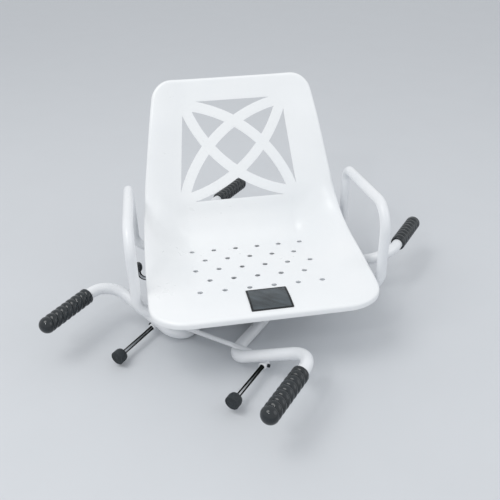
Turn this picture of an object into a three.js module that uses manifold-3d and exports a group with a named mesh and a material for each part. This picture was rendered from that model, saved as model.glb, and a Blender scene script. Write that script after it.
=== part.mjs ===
// Swivel bath seat: a moulded seat with armrests on a turntable, hung between the two rims of a bath.
//
// Millimetres, +Z up, +X along the bath, +Y across the bath, away from the side people get in from.
// The origin is on the swivel axis, at the height of the bath's rims, which the four grips rest on.
// The seat and all that turns with it is built in its own frame, where +X is the sitter's left and -Y is
// the front, and that frame is turned to seatAngle.

import * as THREE from "three";
import * as BufferGeometryUtils from "three/addons/utils/BufferGeometryUtils.js";
import Module from "manifold-3d";

const wasm = await Module();
wasm.setup();

// Driving sizes of the whole seat
const overallWidth = 700;
const seatAngle = 39.6;
const fitGap = 0.3;
const slipGap = 0.2;
const cutOverrun = 2;

// Grips
const gripDiameter = 31;
const gripEndWall = 7;
const gripRibs = 8;
const gripRibDepth = 1.7;
const gripNeckDepth = 2.2;
const gripDomeShare = 0.8;
const gripDomeSteps = 3;

// Side tubes of the base
const sideTubeDiameter = 22;
const sideTubeWall = 1.5;
const sideTubeSpread = 452;
const footSpread = 108;
const kneeSpan = 344;
const footSpan = 356;
const kneeToGrip = 59;
const footDrop = 79;
const kneeBend = 49;
const footBend = 38;
const sideTubeBendSteps = 3;

// Cross bars that tie the two side tubes at their ends
const crossBarDiameter = 9;
const crossBarSpan = 318;
const crossBarLength = 178;
const crossBarTabLength = 40;
const crossBarTabWidth = 13;
const crossBarTabThickness = 4;

// Stop rods, their collars, clamp screws and rubber pads
const stopRodDiameter = 8;
const stopRodInnerPlace = 118;
const stopRodOuterPlace = 127;
const stopRodTail = 10;
const farRodsDrawnIn = 16;
const bathRimWidth = 71;
const collarDiameter = 14;
const collarLength = 16;
const clampScrewDiameter = 4;
const clampScrewHeadDiameter = 6.5;
const clampScrewHeadLength = 4;
const padDiameter = 26;
const padLength = 16;
const padSocketDepth = 8;

// Turntable
const basePlateLength = 150;
const basePlateWidth = 130;
const plateThickness = 4;
const pedestalDiameter = 60;
const pedestalFlangeDiameter = 96;
const pedestalFlangeThickness = 4;
const pedestalBore = 46;
const pedestalTopWall = 7;
const indexPlateDiameter = 200;
const squareLockHoles = 4;
const lockHoleDiameter = 11;
const indexScrewCircle = 78;
const indexScrews = 4;
const indexScrewDiameter = 5;
const indexScrewHeadDiameter = 9;
const indexScrewHeadHeight = 2.5;
const indexScrewLength = 9;
const bearingDiameter = 56;
const bearingHeight = 15.8;
const pivotDiameter = 16;
const pivotHeadDiameter = 30;
const pivotHeadHeight = 6;
const pivotTail = 24;
const bushWall = 2.8;
const washerDiameter = 36;
const washerThickness = 2.5;
const nutDiameter = 30;
const nutHeight = 13;

// Seat frame: armrest tubes and the plate that they are bolted to
const armTubeDiameter = 19;
const armTubeWall = 1.5;
const armSpread = 454;
const armFrontReach = 122;
const armRearReach = 119;
const armFrontHeight = 173;
const armRearHeight = 148;
const armRunHeight = 6;
const armInnerGap = 36;
const armLowerBend = 32;
const armFrontBend = 45;
const armRearBend = 30;
const armBendSteps = 4;
const armBoltSpread = 120;
const armBoltDiameter = 6;
const armBoltHeadDiameter = 11;
const armBoltHeadHeight = 4;
const plugHeadThickness = 3;
const plugDepth = 10;
const topPlateWidth = 170;
const topPlateLength = 280;
const plateCorner = 14;
const plateCornerSteps = 3;

// Release lever with its lock peg, knob, hinge and spring
const leverDiameter = 8;
const leverOffset = 22;
const leverHinge = 44;
const leverReach = 223;
const leverBend = 16;
const leverBendSteps = 4;
const leverRise = 20;
const leverEyeDiameter = 14;
const leverEyeWidth = 12;
const pegDiameter = 7;
const pegArm = 40;
const pegLift = 0.4;
const knobDiameter = 16.5;
const knobHeight = 19.5;
const knobSocketDepth = 9;
const knobShares = [[0.62, 0], [0.92, 0.2], [1, 0.46], [0.9, 0.72], [0.6, 0.93]];
const hingePinDiameter = 4.8;
const hingeEarThickness = 3;
const hingeEarDepth = 18;
const hingeEarHeight = 12;
const springWireDiameter = 1;
const springCoilDiameter = 6.8;
const springTurns = 4;
const springPitch = 1.5;
const springLegLength = 9;
const springStepsPerTurn = 8;

// Moulded seat
const seatWidth = 402;
const seatFront = 216;
const seatBackHeight = 327;
const seatThickness = 5;
const seatLipReach = 6;
const seatLipHeight = 12;
const seatLipWall = 4.5;
const seatLipShares = [[0.75, 0.2], [1, 0.8]];
const frontCornerRadius = 58;
const topCornerRadius = 30;
const seatFlatShare = 0.56;
const drainHoleDiameter = 9.6;
const drainPitch = 45.2;
const drainRows = 5;
const drainCentre = 33.5;
const drainLongRow = 6;
const seatBossDiameter = 18;
const seatScrewDiameter = 5;
const seatScrewHeadDiameter = 10;
const seatScrewHeadHeight = 3;
const seatScrewBite = 7;
const bossFrontPlace = [67, 80.6];
const bossRearPlace = [44.6, -52.5];

// Window and lattice in the backrest, measured in the plane of the back panel
const backRecline = 20;
const windowFoot = 94.8;
const windowDepthBack = 130;
const windowHeight = 204;
const windowTopWidth = 204;
const windowBottomWidth = 250;
const windowCornerCut = 16;
const windowCutDepth = 40;
const latticeBand = 21;
const upperArc = { across: -144.3, up: -69.8, radius: 271.7, from: 88, to: 10 };
const lowerArc = { across: 167.9, up: 283.4, radius: 282.1, from: 190, to: 266 };
const latticeArcSteps = 12;

// Blank plate near the seat's front edge
const labelWidth = 74;
const labelLength = 71;
const labelThickness = 0.9;
const labelOffset = 4;
const labelCentre = 173;
const labelSteps = 3;

// How many sides the round pieces are drawn with
const tubeSides = 10;
const gripSides = 12;
const turntableSides = 20;
const rodSides = 12;
const padSides = 16;
const headSides = 10;
const screwSides = 8;
const hexSides = 6;
const wireSides = 5;

// Heights above the rims
const gripAxisHeight = gripDiameter / 2;
const footHeight = gripAxisHeight - footDrop;
const basePlateTop = footHeight + sideTubeDiameter / 2 + slipGap + plateThickness;
const armRunAxis = gripAxisHeight + armRunHeight;
const topPlateTop = armRunAxis - armTubeDiameter / 2 - slipGap;
const topPlateBottom = topPlateTop - plateThickness;
const leverHeight = topPlateBottom - leverDiameter / 2 - slipGap;
const bearingTop = topPlateBottom - slipGap;
const indexPlateTop = bearingTop - bearingHeight - slipGap;
const indexPlateBottom = indexPlateTop - plateThickness;

// Finishes
const whiteCoat = { color: 0xeef0f2, roughness: 0.35, metalness: 0 };
const whiteShell = { color: 0xf6f7f8, roughness: 0.28, metalness: 0 };
const blackRubber = { color: 0x2a2d30, roughness: 0.5, metalness: 0 };
const chrome = { color: 0xd8dadd, roughness: 0.12, metalness: 1 };
const steel = { color: 0xb4b8bc, roughness: 0.35, metalness: 1 };
const darkScrew = { color: 0x25272a, roughness: 0.4, metalness: 0.6 };
const nylon = { color: 0xdfe2e0, roughness: 0.5, metalness: 0 };
const labelGrey = { color: 0x3c434a, roughness: 0.4, metalness: 0 };

const root = new THREE.Group();
const seat = new THREE.Group();
seat.rotation.z = THREE.MathUtils.degToRad(seatAngle);
root.add(seat);

// Adds a closed geometry to a group as a named sub-part
function addPart(group, name, geometry, finish) {
  const mesh = new THREE.Mesh(geometry, new THREE.MeshStandardMaterial(finish));
  mesh.name = name;
  group.add(mesh);
  return mesh;
}

// Turns a closed geometry into a solid that can be cut and joined
function solidOf(geometry) {
  const bare = geometry.clone();
  bare.deleteAttribute("normal");
  bare.deleteAttribute("uv");
  const merged = BufferGeometryUtils.mergeVertices(bare);
  return new wasm.Manifold(new wasm.Mesh({
    numProp: 3,
    vertProperties: new Float32Array(merged.attributes.position.array),
    triVerts: new Uint32Array(merged.index.array),
  }));
}

// Turns a solid back into a geometry
function geometryOf(solid) {
  const mesh = solid.getMesh();
  const geometry = new THREE.BufferGeometry();
  geometry.setAttribute("position", new THREE.BufferAttribute(new Float32Array(mesh.vertProperties), 3));
  geometry.setIndex(new THREE.BufferAttribute(new Uint32Array(mesh.triVerts), 1));
  geometry.computeVertexNormals();
  return geometry;
}

// Cuts every geometry in the list out of the first one
function cut(geometry, cutters) {
  return geometryOf(cutters.reduce((rest, cutter) => rest.subtract(solidOf(cutter)), solidOf(geometry)));
}

// Joins geometries that overlap into one solid
function join(geometries) {
  return geometryOf(geometries.map(solidOf).reduce((whole, next) => whole.add(next)));
}

// A turned piece about Z: profile points are [radius, height]
function turned(profile, sides) {
  const points = profile.map(([radius, height]) => new THREE.Vector2(radius, height));
  return new THREE.LatheGeometry(points, sides).rotateX(Math.PI / 2);
}

// A flat ring about Z between two heights
function ringBetween(outer, inner, low, high, sides) {
  return turned([[inner, low], [outer, low], [outer, high], [inner, high], [inner, low]], sides);
}

// A round bar between two points
function bar(diameter, from, to, sides) {
  const axis = new THREE.Vector3().subVectors(to, from);
  const geometry = new THREE.CylinderGeometry(diameter / 2, diameter / 2, axis.length(), sides);
  const heading = axis.clone().normalize();
  const turn = new THREE.Quaternion().setFromUnitVectors(new THREE.Vector3(0, 1, 0), heading);
  const middle = new THREE.Vector3().addVectors(from, to).multiplyScalar(1 / 2);
  return geometry.applyQuaternion(turn).translate(middle.x, middle.y, middle.z);
}

function point(x, y, z) {
  return new THREE.Vector3(x, y, z);
}

// The diameter of a many-sided hole whose flats clear a round piece by a gap
function holeFor(diameter, gap, sides) {
  return (diameter + 2 * gap) / Math.cos(Math.PI / sides);
}

// A path of straight lengths with round bends, sampled only where it needs a section
class BentPath extends THREE.Curve {
  constructor(corners, bendRadii, bendSteps) {
    super();
    this.places = [corners[0].clone()];
    this.headings = [new THREE.Vector3().subVectors(corners[1], corners[0]).normalize()];
    for (let k = 1; k < corners.length - 1; k += 1) {
      this.addBend(corners[k - 1], corners[k], corners[k + 1], bendRadii[k - 1], bendSteps);
    }
    const last = corners.length - 1;
    this.places.push(corners[last].clone());
    this.headings.push(new THREE.Vector3().subVectors(corners[last], corners[last - 1]).normalize());
    this.steps = this.places.length - 1;
  }

  addBend(before, corner, after, radius, bendSteps) {
    const inward = new THREE.Vector3().subVectors(corner, before).normalize();
    const outward = new THREE.Vector3().subVectors(after, corner).normalize();
    const turn = inward.angleTo(outward);
    const axis = new THREE.Vector3().crossVectors(inward, outward).normalize();
    const start = corner.clone().addScaledVector(inward, -radius * Math.tan(turn / 2));
    const centre = start.clone().addScaledVector(new THREE.Vector3().crossVectors(axis, inward), radius);
    for (let k = 0; k <= bendSteps; k += 1) {
      const angle = (turn * k) / bendSteps;
      const spoke = new THREE.Vector3().subVectors(start, centre).applyAxisAngle(axis, angle);
      this.places.push(centre.clone().add(spoke));
      this.headings.push(inward.clone().applyAxisAngle(axis, angle));
    }
  }

  getPointAt(share) {
    return this.places[Math.round(share * this.steps)].clone();
  }

  getTangentAt(share) {
    return this.headings[Math.round(share * this.steps)].clone();
  }
}

function polygonPath(radius, sides) {
  const corners = [];
  for (let k = 0; k < sides; k += 1) {
    const angle = (2 * Math.PI * k) / sides;
    corners.push(new THREE.Vector2(radius * Math.cos(angle), radius * Math.sin(angle)));
  }
  return corners;
}

// A solid rod, or a tube where a wall is given, along a path
function sweep(path, radius, wall, sides) {
  const section = new THREE.Shape(polygonPath(radius, sides));
  if (wall > 0) {
    section.holes.push(new THREE.Path(polygonPath(radius - wall, sides)));
  }
  return new THREE.ExtrudeGeometry(section, { steps: path.steps, extrudePath: path });
}

// A plate in the XY plane with round corners
function roundedPlate(width, length, corner, low, thickness) {
  const shape = new THREE.Shape();
  const right = width / 2;
  const top = length / 2;
  shape.moveTo(-right + corner, -top);
  shape.lineTo(right - corner, -top);
  shape.absarc(right - corner, -top + corner, corner, -Math.PI / 2, 0);
  shape.lineTo(right, top - corner);
  shape.absarc(right - corner, top - corner, corner, 0, Math.PI / 2);
  shape.lineTo(-right + corner, top);
  shape.absarc(-right + corner, top - corner, corner, Math.PI / 2, Math.PI);
  shape.lineTo(-right, -top + corner);
  shape.absarc(-right + corner, -top + corner, corner, Math.PI, (3 * Math.PI) / 2);
  const options = { depth: thickness, bevelEnabled: false, curveSegments: plateCornerSteps };
  const geometry = new THREE.ExtrudeGeometry(shape, options);
  return geometry.translate(0, 0, low);
}

// Base: two side tubes, which rest on the rims through their grips
const sideSigns = { left: -1, right: 1 };
const endSigns = { near: -1, far: 1 };
const gripAxisX = sideTubeSpread / 2;
const footX = footSpread / 2;
const tubeEndY = overallWidth / 2 - gripEndWall;
const gripLength = (overallWidth - kneeSpan) / 2 - kneeToGrip;

function sideTubePath(side) {
  const x = side * gripAxisX;
  const corners = [
    point(x, -tubeEndY, gripAxisHeight),
    point(x, -kneeSpan / 2, gripAxisHeight),
    point(side * footX, -footSpan / 2, footHeight),
    point(side * footX, footSpan / 2, footHeight),
    point(x, kneeSpan / 2, gripAxisHeight),
    point(x, tubeEndY, gripAxisHeight),
  ];
  return new BentPath(corners, [kneeBend, footBend, footBend, kneeBend], sideTubeBendSteps);
}

// A ribbed grip with a domed end, closed over the tube's end
function gripGeometry() {
  const outer = gripDiameter / 2;
  const bore = holeFor(sideTubeDiameter, slipGap, gripSides) / 2;
  const dome = outer * gripDomeShare;
  const boreEnd = gripLength - gripEndWall + slipGap;
  const profile = [[0, boreEnd], [bore, boreEnd], [bore, 0]];
  profile.push([outer - gripNeckDepth, 0]);
  const ribbedLength = gripLength - dome;
  for (let k = 0; k < gripRibs; k += 1) {
    const start = (ribbedLength * k) / gripRibs;
    profile.push([outer, start + ribbedLength / gripRibs / 3]);
    profile.push([outer - gripRibDepth, start + ribbedLength / gripRibs]);
  }
  profile[profile.length - 1] = [outer, ribbedLength];
  for (let k = 1; k < gripDomeSteps; k += 1) {
    const turn = (Math.PI * k) / (2 * gripDomeSteps);
    profile.push([outer * Math.cos(turn), ribbedLength + dome * Math.sin(turn)]);
  }
  profile.push([0, gripLength]);
  return turned(profile, gripSides);
}

for (const [sideName, side] of Object.entries(sideSigns)) {
  const tube = sweep(sideTubePath(side), sideTubeDiameter / 2, sideTubeWall, tubeSides);
  addPart(root, `side_tube_${sideName}`, tube, whiteCoat);
  for (const [endName, end] of Object.entries(endSigns)) {
    const grip = addPart(root, `grip_${endName}_${sideName}`, gripGeometry(), blackRubber);
    grip.rotation.x = (-end * Math.PI) / 2;
    grip.position.set(side * gripAxisX, end * (overallWidth / 2 - gripLength), gripAxisHeight);
  }
}

// Cross bars: round bars whose flattened ends are seated on the side tubes
function crossBarGeometry(end) {
  const y = (end * crossBarSpan) / 2;
  const z = footHeight + sideTubeDiameter / 2 + crossBarDiameter / 2 + fitGap;
  const roundHalf = crossBarLength / 2 - crossBarTabLength / 2;
  const pieces = [bar(crossBarDiameter, point(-roundHalf, y, z), point(roundHalf, y, z), rodSides)];
  for (const side of [-1, 1]) {
    const tab = new THREE.BoxGeometry(crossBarTabLength, crossBarTabWidth, crossBarTabThickness);
    pieces.push(tab.translate(side * (crossBarLength / 2 - crossBarTabLength / 2), y, z));
  }
  const seats = [-1, 1].map((side) => sweep(sideTubePath(side), sideTubeDiameter / 2 + fitGap, 0, tubeSides));
  return cut(join(pieces), seats);
}

for (const [endName, end] of Object.entries(endSigns)) {
  addPart(root, `cross_bar_${endName}`, crossBarGeometry(end), whiteCoat);
}

// Stop rods that slide in collars under the side tubes and press their pads on the bath's walls.
// Rods at opposite ends stand side by side, so that they can be slid in past each other.
// The far rods are stored a little further in, where the seat hides their pads.
const knee = point(gripAxisX, kneeSpan / 2, gripAxisHeight);
const foot = point(footX, footSpan / 2, footHeight);
const runHeading = new THREE.Vector3().subVectors(knee, foot).normalize();
const runDown = point(runHeading.z, 0, -runHeading.x).normalize();
const collarDrop = sideTubeDiameter / 2 + collarDiameter / 2 + slipGap;
const stopRodTip = overallWidth / 2 - bathRimWidth;

// Where a collar's middle lies when it hangs under the sloping run at a distance from the middle
function collarMiddle(place) {
  const share = (place - runDown.x * collarDrop - foot.x) / (knee.x - foot.x);
  return new THREE.Vector3().lerpVectors(foot, knee, share).addScaledVector(runDown, collarDrop);
}

for (const [sideName, side] of Object.entries(sideSigns)) {
  for (const [endName, end] of Object.entries(endSigns)) {
    const place = `${endName}_${sideName}`;
    const middle = collarMiddle(side === end ? stopRodInnerPlace : stopRodOuterPlace);
    const along = (y) => point(side * middle.x, end * y, middle.z);
    const across = (distance) => point(side * (middle.x + distance), end * middle.y, middle.z);

    const collarInner = middle.y - collarLength / 2;
    const collarOuter = middle.y + collarLength / 2;
    const drawnIn = end === endSigns.far ? farRodsDrawnIn : 0;
    const tail = collarInner - stopRodTail - drawnIn;
    const tip = stopRodTip - drawnIn;
    const rod = bar(stopRodDiameter, along(tail), along(tip), rodSides);
    addPart(root, `stop_rod_${place}`, rod, chrome);

    const collar = cut(bar(collarDiameter, along(collarInner), along(collarOuter), rodSides), [
      bar(holeFor(stopRodDiameter, slipGap, rodSides), along(collarInner - cutOverrun),
        along(collarOuter + cutOverrun), rodSides),
      bar(holeFor(clampScrewDiameter, slipGap, screwSides), across(0), across(collarDiameter), screwSides),
    ]);
    addPart(root, `rod_collar_${place}`, collar, whiteCoat);

    const shankTip = stopRodDiameter / 2 + slipGap;
    const headFoot = collarDiameter / 2 + slipGap;
    const screw = join([
      bar(clampScrewDiameter, across(shankTip), across(headFoot + clampScrewHeadLength / 2), screwSides),
      bar(clampScrewHeadDiameter, across(headFoot), across(headFoot + clampScrewHeadLength), screwSides),
    ]);
    addPart(root, `clamp_screw_${place}`, screw, darkScrew);

    const socketBottom = tip + slipGap;
    const padInner = socketBottom - padSocketDepth;
    const socket = holeFor(stopRodDiameter, slipGap, rodSides);
    const pad = cut(bar(padDiameter, along(padInner), along(padInner + padLength), padSides), [
      bar(socket, along(padInner - cutOverrun), along(socketBottom), rodSides),
    ]);
    addPart(root, `stop_pad_${place}`, pad, blackRubber);
  }
}

// Fixed half of the turntable: base plate, pedestal, index plate and its screws
const pivotBoreRadius = holeFor(pivotDiameter, slipGap, turntableSides) / 2;
const bushOuterRadius = pivotBoreRadius + bushWall;
const bushHoleRadius = holeFor(2 * bushOuterRadius, slipGap, turntableSides) / 2;

const basePlate = cut(
  roundedPlate(basePlateLength, basePlateWidth, plateCorner, basePlateTop - plateThickness, plateThickness),
  [uprightBar(pedestalBore, point(0, 0, 0), basePlateTop - 2 * plateThickness, basePlateTop + plateThickness,
    turntableSides)],
);
addPart(root, "base_plate", basePlate, whiteCoat);

const pedestalFoot = basePlateTop + slipGap;
const pedestalTop = indexPlateBottom - slipGap;
const pedestal = turned([
  [pedestalBore / 2, pedestalFoot],
  [pedestalFlangeDiameter / 2, pedestalFoot],
  [pedestalFlangeDiameter / 2, pedestalFoot + pedestalFlangeThickness],
  [pedestalDiameter / 2, pedestalFoot + pedestalFlangeThickness],
  [pedestalDiameter / 2, pedestalTop - pedestalFlangeThickness],
  [pedestalFlangeDiameter / 2, pedestalTop - pedestalFlangeThickness],
  [pedestalFlangeDiameter / 2, pedestalTop],
  [bushHoleRadius, pedestalTop],
  [bushHoleRadius, pedestalTop - pedestalTopWall],
  [pedestalBore / 2, pedestalTop - pedestalTopWall],
  [pedestalBore / 2, pedestalFoot],
], turntableSides);

// Places on a circle about the swivel axis
function roundAbout(radius, count, firstAngle, height) {
  const places = [];
  for (let k = 0; k < count; k += 1) {
    const angle = firstAngle + (2 * Math.PI * k) / count;
    places.push(point(radius * Math.cos(angle), radius * Math.sin(angle), height));
  }
  return places;
}

function uprightBar(diameter, place, low, high, sides) {
  return bar(diameter, point(place.x, place.y, low), point(place.x, place.y, high), sides);
}

const indexScrewPlaces = roundAbout(indexScrewCircle / 2, indexScrews, Math.PI / 4, 0);
const indexScrewHoles = indexScrewPlaces.map((place) => (
  uprightBar(holeFor(indexScrewDiameter, slipGap, screwSides), place,
    pedestalTop - 2 * pedestalFlangeThickness, indexPlateTop + plateThickness, screwSides)
));
addPart(root, "pedestal", cut(pedestal, indexScrewHoles), whiteCoat);

// The lock holes: one set for the square positions and one set for the turned-out position
const pegPlace = point(-leverHinge - pegArm, leverOffset, 0);
const pegCircle = Math.hypot(pegPlace.x, pegPlace.y);
const pegAngle = Math.atan2(pegPlace.y, pegPlace.x);
const turnedOut = THREE.MathUtils.degToRad(seatAngle);
const lockHoles = [0, turnedOut]
  .flatMap((angle) => roundAbout(pegCircle, squareLockHoles, pegAngle + angle, 0))
  .map((place) => (
    uprightBar(lockHoleDiameter, place, indexPlateBottom - cutOverrun, indexPlateTop + cutOverrun, headSides)
  ));
const indexPlate = cut(
  ringBetween(indexPlateDiameter / 2, bushHoleRadius, indexPlateBottom, indexPlateTop, turntableSides),
  [...lockHoles, ...indexScrewHoles],
);
addPart(root, "index_plate", indexPlate, steel);

indexScrewPlaces.forEach((place, k) => {
  const head = indexPlateTop + slipGap;
  const screw = join([
    uprightBar(indexScrewDiameter, place, head - indexScrewLength, head + indexScrewHeadHeight / 2,
      screwSides),
    uprightBar(indexScrewHeadDiameter, place, head, head + indexScrewHeadHeight, headSides),
  ]);
  addPart(root, `index_screw_${k + 1}`, screw, steel);
});

const bush = ringBetween(bushOuterRadius, pivotBoreRadius, pedestalTop - pedestalTopWall, indexPlateTop,
  turntableSides);
addPart(root, "pivot_bush", bush, nylon);

const bearing = ringBetween(bearingDiameter / 2, pivotBoreRadius, bearingTop - bearingHeight, bearingTop,
  turntableSides);
addPart(root, "bearing_ring", bearing, nylon);

// Turning half of the turntable: pivot bolt with its washer and nut, and the top plate
const washerTop = pedestalTop - pedestalTopWall - slipGap;
const nutTop = washerTop - washerThickness - slipGap;
const pivotBolt = join([
  uprightBar(pivotDiameter, point(0, 0, 0), nutTop - pivotTail, topPlateTop + pivotHeadHeight / 2,
    turntableSides),
  uprightBar(pivotHeadDiameter, point(0, 0, 0), topPlateTop + slipGap, topPlateTop + pivotHeadHeight,
    hexSides),
]);
addPart(seat, "pivot_bolt", pivotBolt, steel);

const washer = ringBetween(washerDiameter / 2, pivotBoreRadius, washerTop - washerThickness, washerTop,
  turntableSides);
addPart(seat, "pivot_washer", washer, steel);

const nut = cut(
  uprightBar(nutDiameter, point(0, 0, 0), nutTop - nutHeight, nutTop, hexSides),
  [uprightBar(2 * pivotBoreRadius, point(0, 0, 0), nutTop - nutHeight - cutOverrun, nutTop + cutOverrun,
    turntableSides)],
);
addPart(seat, "pivot_nut", nut, steel);

const armBoltPlaces = {
  front_left: point(armBoltSpread / 2, -armFrontReach, 0),
  front_right: point(-armBoltSpread / 2, -armFrontReach, 0),
  rear_left: point(armBoltSpread / 2, armRearReach, 0),
  rear_right: point(-armBoltSpread / 2, armRearReach, 0),
};
const seatScrewPlaces = {
  front_left: point(bossFrontPlace[0], -bossFrontPlace[1], 0),
  front_right: point(-bossFrontPlace[0], -bossFrontPlace[1], 0),
  rear_left: point(bossRearPlace[0], -bossRearPlace[1], 0),
  rear_right: point(-bossRearPlace[0], -bossRearPlace[1], 0),
};

const plateCutLow = topPlateBottom - cutOverrun;
const plateCutHigh = topPlateTop + cutOverrun;
const armBoltHole = holeFor(armBoltDiameter, slipGap, screwSides);
const seatScrewHole = holeFor(seatScrewDiameter, slipGap, screwSides);
const slotInnerEnd = leverHinge - leverEyeDiameter / 2 - cutOverrun;
const slotWidth = leverEyeWidth + 2 * fitGap;
const slotLength = topPlateWidth - slotInnerEnd;
const leverSlot = new THREE.BoxGeometry(slotLength, slotWidth, 2 * plateThickness)
  .translate(-slotInnerEnd - slotLength / 2, leverOffset, (plateCutLow + plateCutHigh) / 2);
const plateMiddle = (armRearReach - armFrontReach) / 2;
const topPlate = cut(
  roundedPlate(topPlateWidth, topPlateLength, plateCorner, topPlateBottom, plateThickness)
    .translate(0, plateMiddle, 0),
  [
    leverSlot,
    uprightBar(2 * pivotBoreRadius, point(0, 0, 0), plateCutLow, plateCutHigh, turntableSides),
    ...Object.values(armBoltPlaces).map((place) => (
      uprightBar(armBoltHole, place, plateCutLow, plateCutHigh, screwSides))),
    ...Object.values(seatScrewPlaces).map((place) => (
      uprightBar(seatScrewHole, place, plateCutLow, plateCutHigh, screwSides))),
  ],
);
addPart(seat, "top_plate", topPlate, whiteCoat);

// Armrests: one bent tube on each side, bolted to the top plate at both lower ends
const armX = armSpread / 2;
const plugDiameter = (armTubeDiameter - 2 * armTubeWall) * Math.cos(Math.PI / tubeSides) - 2 * slipGap;

for (const [sideName, side] of [["left", 1], ["right", -1]]) {
  const corners = [
    point((side * armInnerGap) / 2, -armFrontReach, armRunAxis),
    point(side * armX, -armFrontReach, armRunAxis),
    point(side * armX, -armFrontReach, gripAxisHeight + armFrontHeight),
    point(side * armX, armRearReach, gripAxisHeight + armRearHeight),
    point(side * armX, armRearReach, armRunAxis),
    point((side * armInnerGap) / 2, armRearReach, armRunAxis),
  ];
  const path = new BentPath(corners, [armLowerBend, armFrontBend, armRearBend, armLowerBend], armBendSteps);
  const boltHoles = ["front", "rear"].map((end) => (
    uprightBar(holeFor(armBoltDiameter, slipGap, screwSides), armBoltPlaces[`${end}_${sideName}`],
      armRunAxis - armTubeDiameter, armRunAxis, screwSides)
  ));
  const tube = cut(sweep(path, armTubeDiameter / 2, armTubeWall, tubeSides), boltHoles);
  addPart(seat, `armrest_${sideName}`, tube, whiteCoat);

  for (const [endName, y] of [["front", -armFrontReach], ["rear", armRearReach]]) {
    const inner = (side * armInnerGap) / 2;
    const face = inner - side * slipGap;
    const acrossAt = (x) => point(x, y, armRunAxis);
    const plug = join([
      bar(armTubeDiameter, acrossAt(face - side * plugHeadThickness), acrossAt(face), rodSides),
      bar(plugDiameter, acrossAt(face - side * slipGap), acrossAt(inner + side * plugDepth), rodSides),
    ]);
    addPart(seat, `tube_plug_${endName}_${sideName}`, plug, blackRubber);
  }
}

for (const [placeName, place] of Object.entries(armBoltPlaces)) {
  const headTop = topPlateBottom - slipGap;
  const bolt = join([
    uprightBar(armBoltHeadDiameter, place, headTop - armBoltHeadHeight, headTop, hexSides),
    uprightBar(armBoltDiameter, place, headTop - armBoltHeadHeight / 2, armRunAxis, screwSides),
  ]);
  addPart(seat, `armrest_bolt_${placeName}`, bolt, steel);
}

// Release lever: a chrome rod on a hinge under the top plate. Its peg drops into the index plate to lock the
// seat, and is drawn lifted just clear of the plate.
const hingeAxis = point(-leverHinge, leverOffset, leverHeight);
const leverPath = new BentPath([
  hingeAxis,
  point(-leverReach, leverOffset, leverHeight),
  point(-leverReach, leverOffset, leverHeight + leverRise + knobSocketDepth),
], [leverBend], leverBendSteps);
const pegTip = indexPlateTop + pegLift;
const acrossHinge = (distance) => point(-leverHinge, leverOffset + distance, leverHeight);
const leverBody = join([
  sweep(leverPath, leverDiameter / 2, 0, rodSides),
  bar(leverEyeDiameter, acrossHinge(-leverEyeWidth / 2), acrossHinge(leverEyeWidth / 2), rodSides),
  uprightBar(pegDiameter, pegPlace, pegTip, leverHeight, headSides),
]);
const hingeHole = (gap) => (
  bar(holeFor(hingePinDiameter, gap, rodSides), acrossHinge(-hingeEarDepth - leverEyeWidth),
    acrossHinge(hingeEarDepth + leverEyeWidth), rodSides)
);
addPart(seat, "release_lever", cut(leverBody, [hingeHole(fitGap)]), chrome);

const knobFoot = leverHeight + leverRise;
const knobRadius = knobDiameter / 2;
const knobBore = holeFor(leverDiameter, slipGap, rodSides) / 2;
const knob = turned([
  [0, knobSocketDepth + slipGap],
  [knobBore, knobSocketDepth + slipGap],
  [knobBore, 0],
  ...knobShares.map(([across, up]) => [knobRadius * across, knobHeight * up]),
  [0, knobHeight],
], rodSides).translate(-leverReach, leverOffset, knobFoot);
addPart(seat, "lever_knob", knob, blackRubber);

// Hinge bracket: two ears and the strap between them, hung from the top plate
const earInner = leverEyeWidth / 2 + fitGap;
const springRoom = springTurns * springPitch + 2 * springWireDiameter;
const bracketOutline = new THREE.Shape();
const strapX = -leverHinge + hingeEarDepth / 2;
const earEndX = -leverHinge - hingeEarDepth / 2;
const farEarY = leverOffset + earInner + springRoom;
const nearEarY = leverOffset - earInner;
bracketOutline.moveTo(earEndX, nearEarY - hingeEarThickness);
bracketOutline.lineTo(strapX + hingeEarThickness, nearEarY - hingeEarThickness);
bracketOutline.lineTo(strapX + hingeEarThickness, farEarY + hingeEarThickness);
bracketOutline.lineTo(earEndX, farEarY + hingeEarThickness);
bracketOutline.lineTo(earEndX, farEarY);
bracketOutline.lineTo(strapX, farEarY);
bracketOutline.lineTo(strapX, nearEarY);
bracketOutline.lineTo(earEndX, nearEarY);
const bracketTop = topPlateBottom - slipGap;
const bracket = new THREE.ExtrudeGeometry(bracketOutline, { depth: hingeEarHeight, bevelEnabled: false })
  .translate(0, 0, bracketTop - hingeEarHeight);
addPart(seat, "hinge_bracket", cut(bracket, [hingeHole(slipGap)]), whiteCoat);

const pinOverhang = hingeEarThickness + springWireDiameter;
const hingePin = bar(hingePinDiameter, point(-leverHinge, nearEarY - pinOverhang, leverHeight),
  point(-leverHinge, farEarY + pinOverhang, leverHeight), rodSides);
addPart(seat, "hinge_pin", hingePin, steel);

// Torsion spring wound round the hinge pin, between the lever's eye and the far ear
class SpringPath extends THREE.Curve {
  constructor() {
    super();
    this.steps = springTurns * springStepsPerTurn + 2;
  }

  getPoint(share) {
    const k = Math.round(share * this.steps);
    const turns = THREE.MathUtils.clamp(k - 1, 0, this.steps - 2) / springStepsPerTurn;
    const angle = 2 * Math.PI * turns;
    const radius = springCoilDiameter / 2;
    const leg = k === 0 || k === this.steps ? springLegLength : 0;
    const start = leverOffset + earInner + springWireDiameter;
    return point(
      -leverHinge - radius * Math.sin(angle) - leg,
      start + springPitch * turns,
      leverHeight - radius * Math.cos(angle),
    );
  }

  getPointAt(share) {
    return this.getPoint(share);
  }

  getTangentAt(share) {
    const before = this.getPoint(Math.max(0, share - 1 / this.steps));
    const after = this.getPoint(Math.min(1, share + 1 / this.steps));
    return after.sub(before).normalize();
  }
}
addPart(seat, "lever_spring", sweep(new SpringPath(), springWireDiameter / 2, 0, wireSides), steel);

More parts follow.
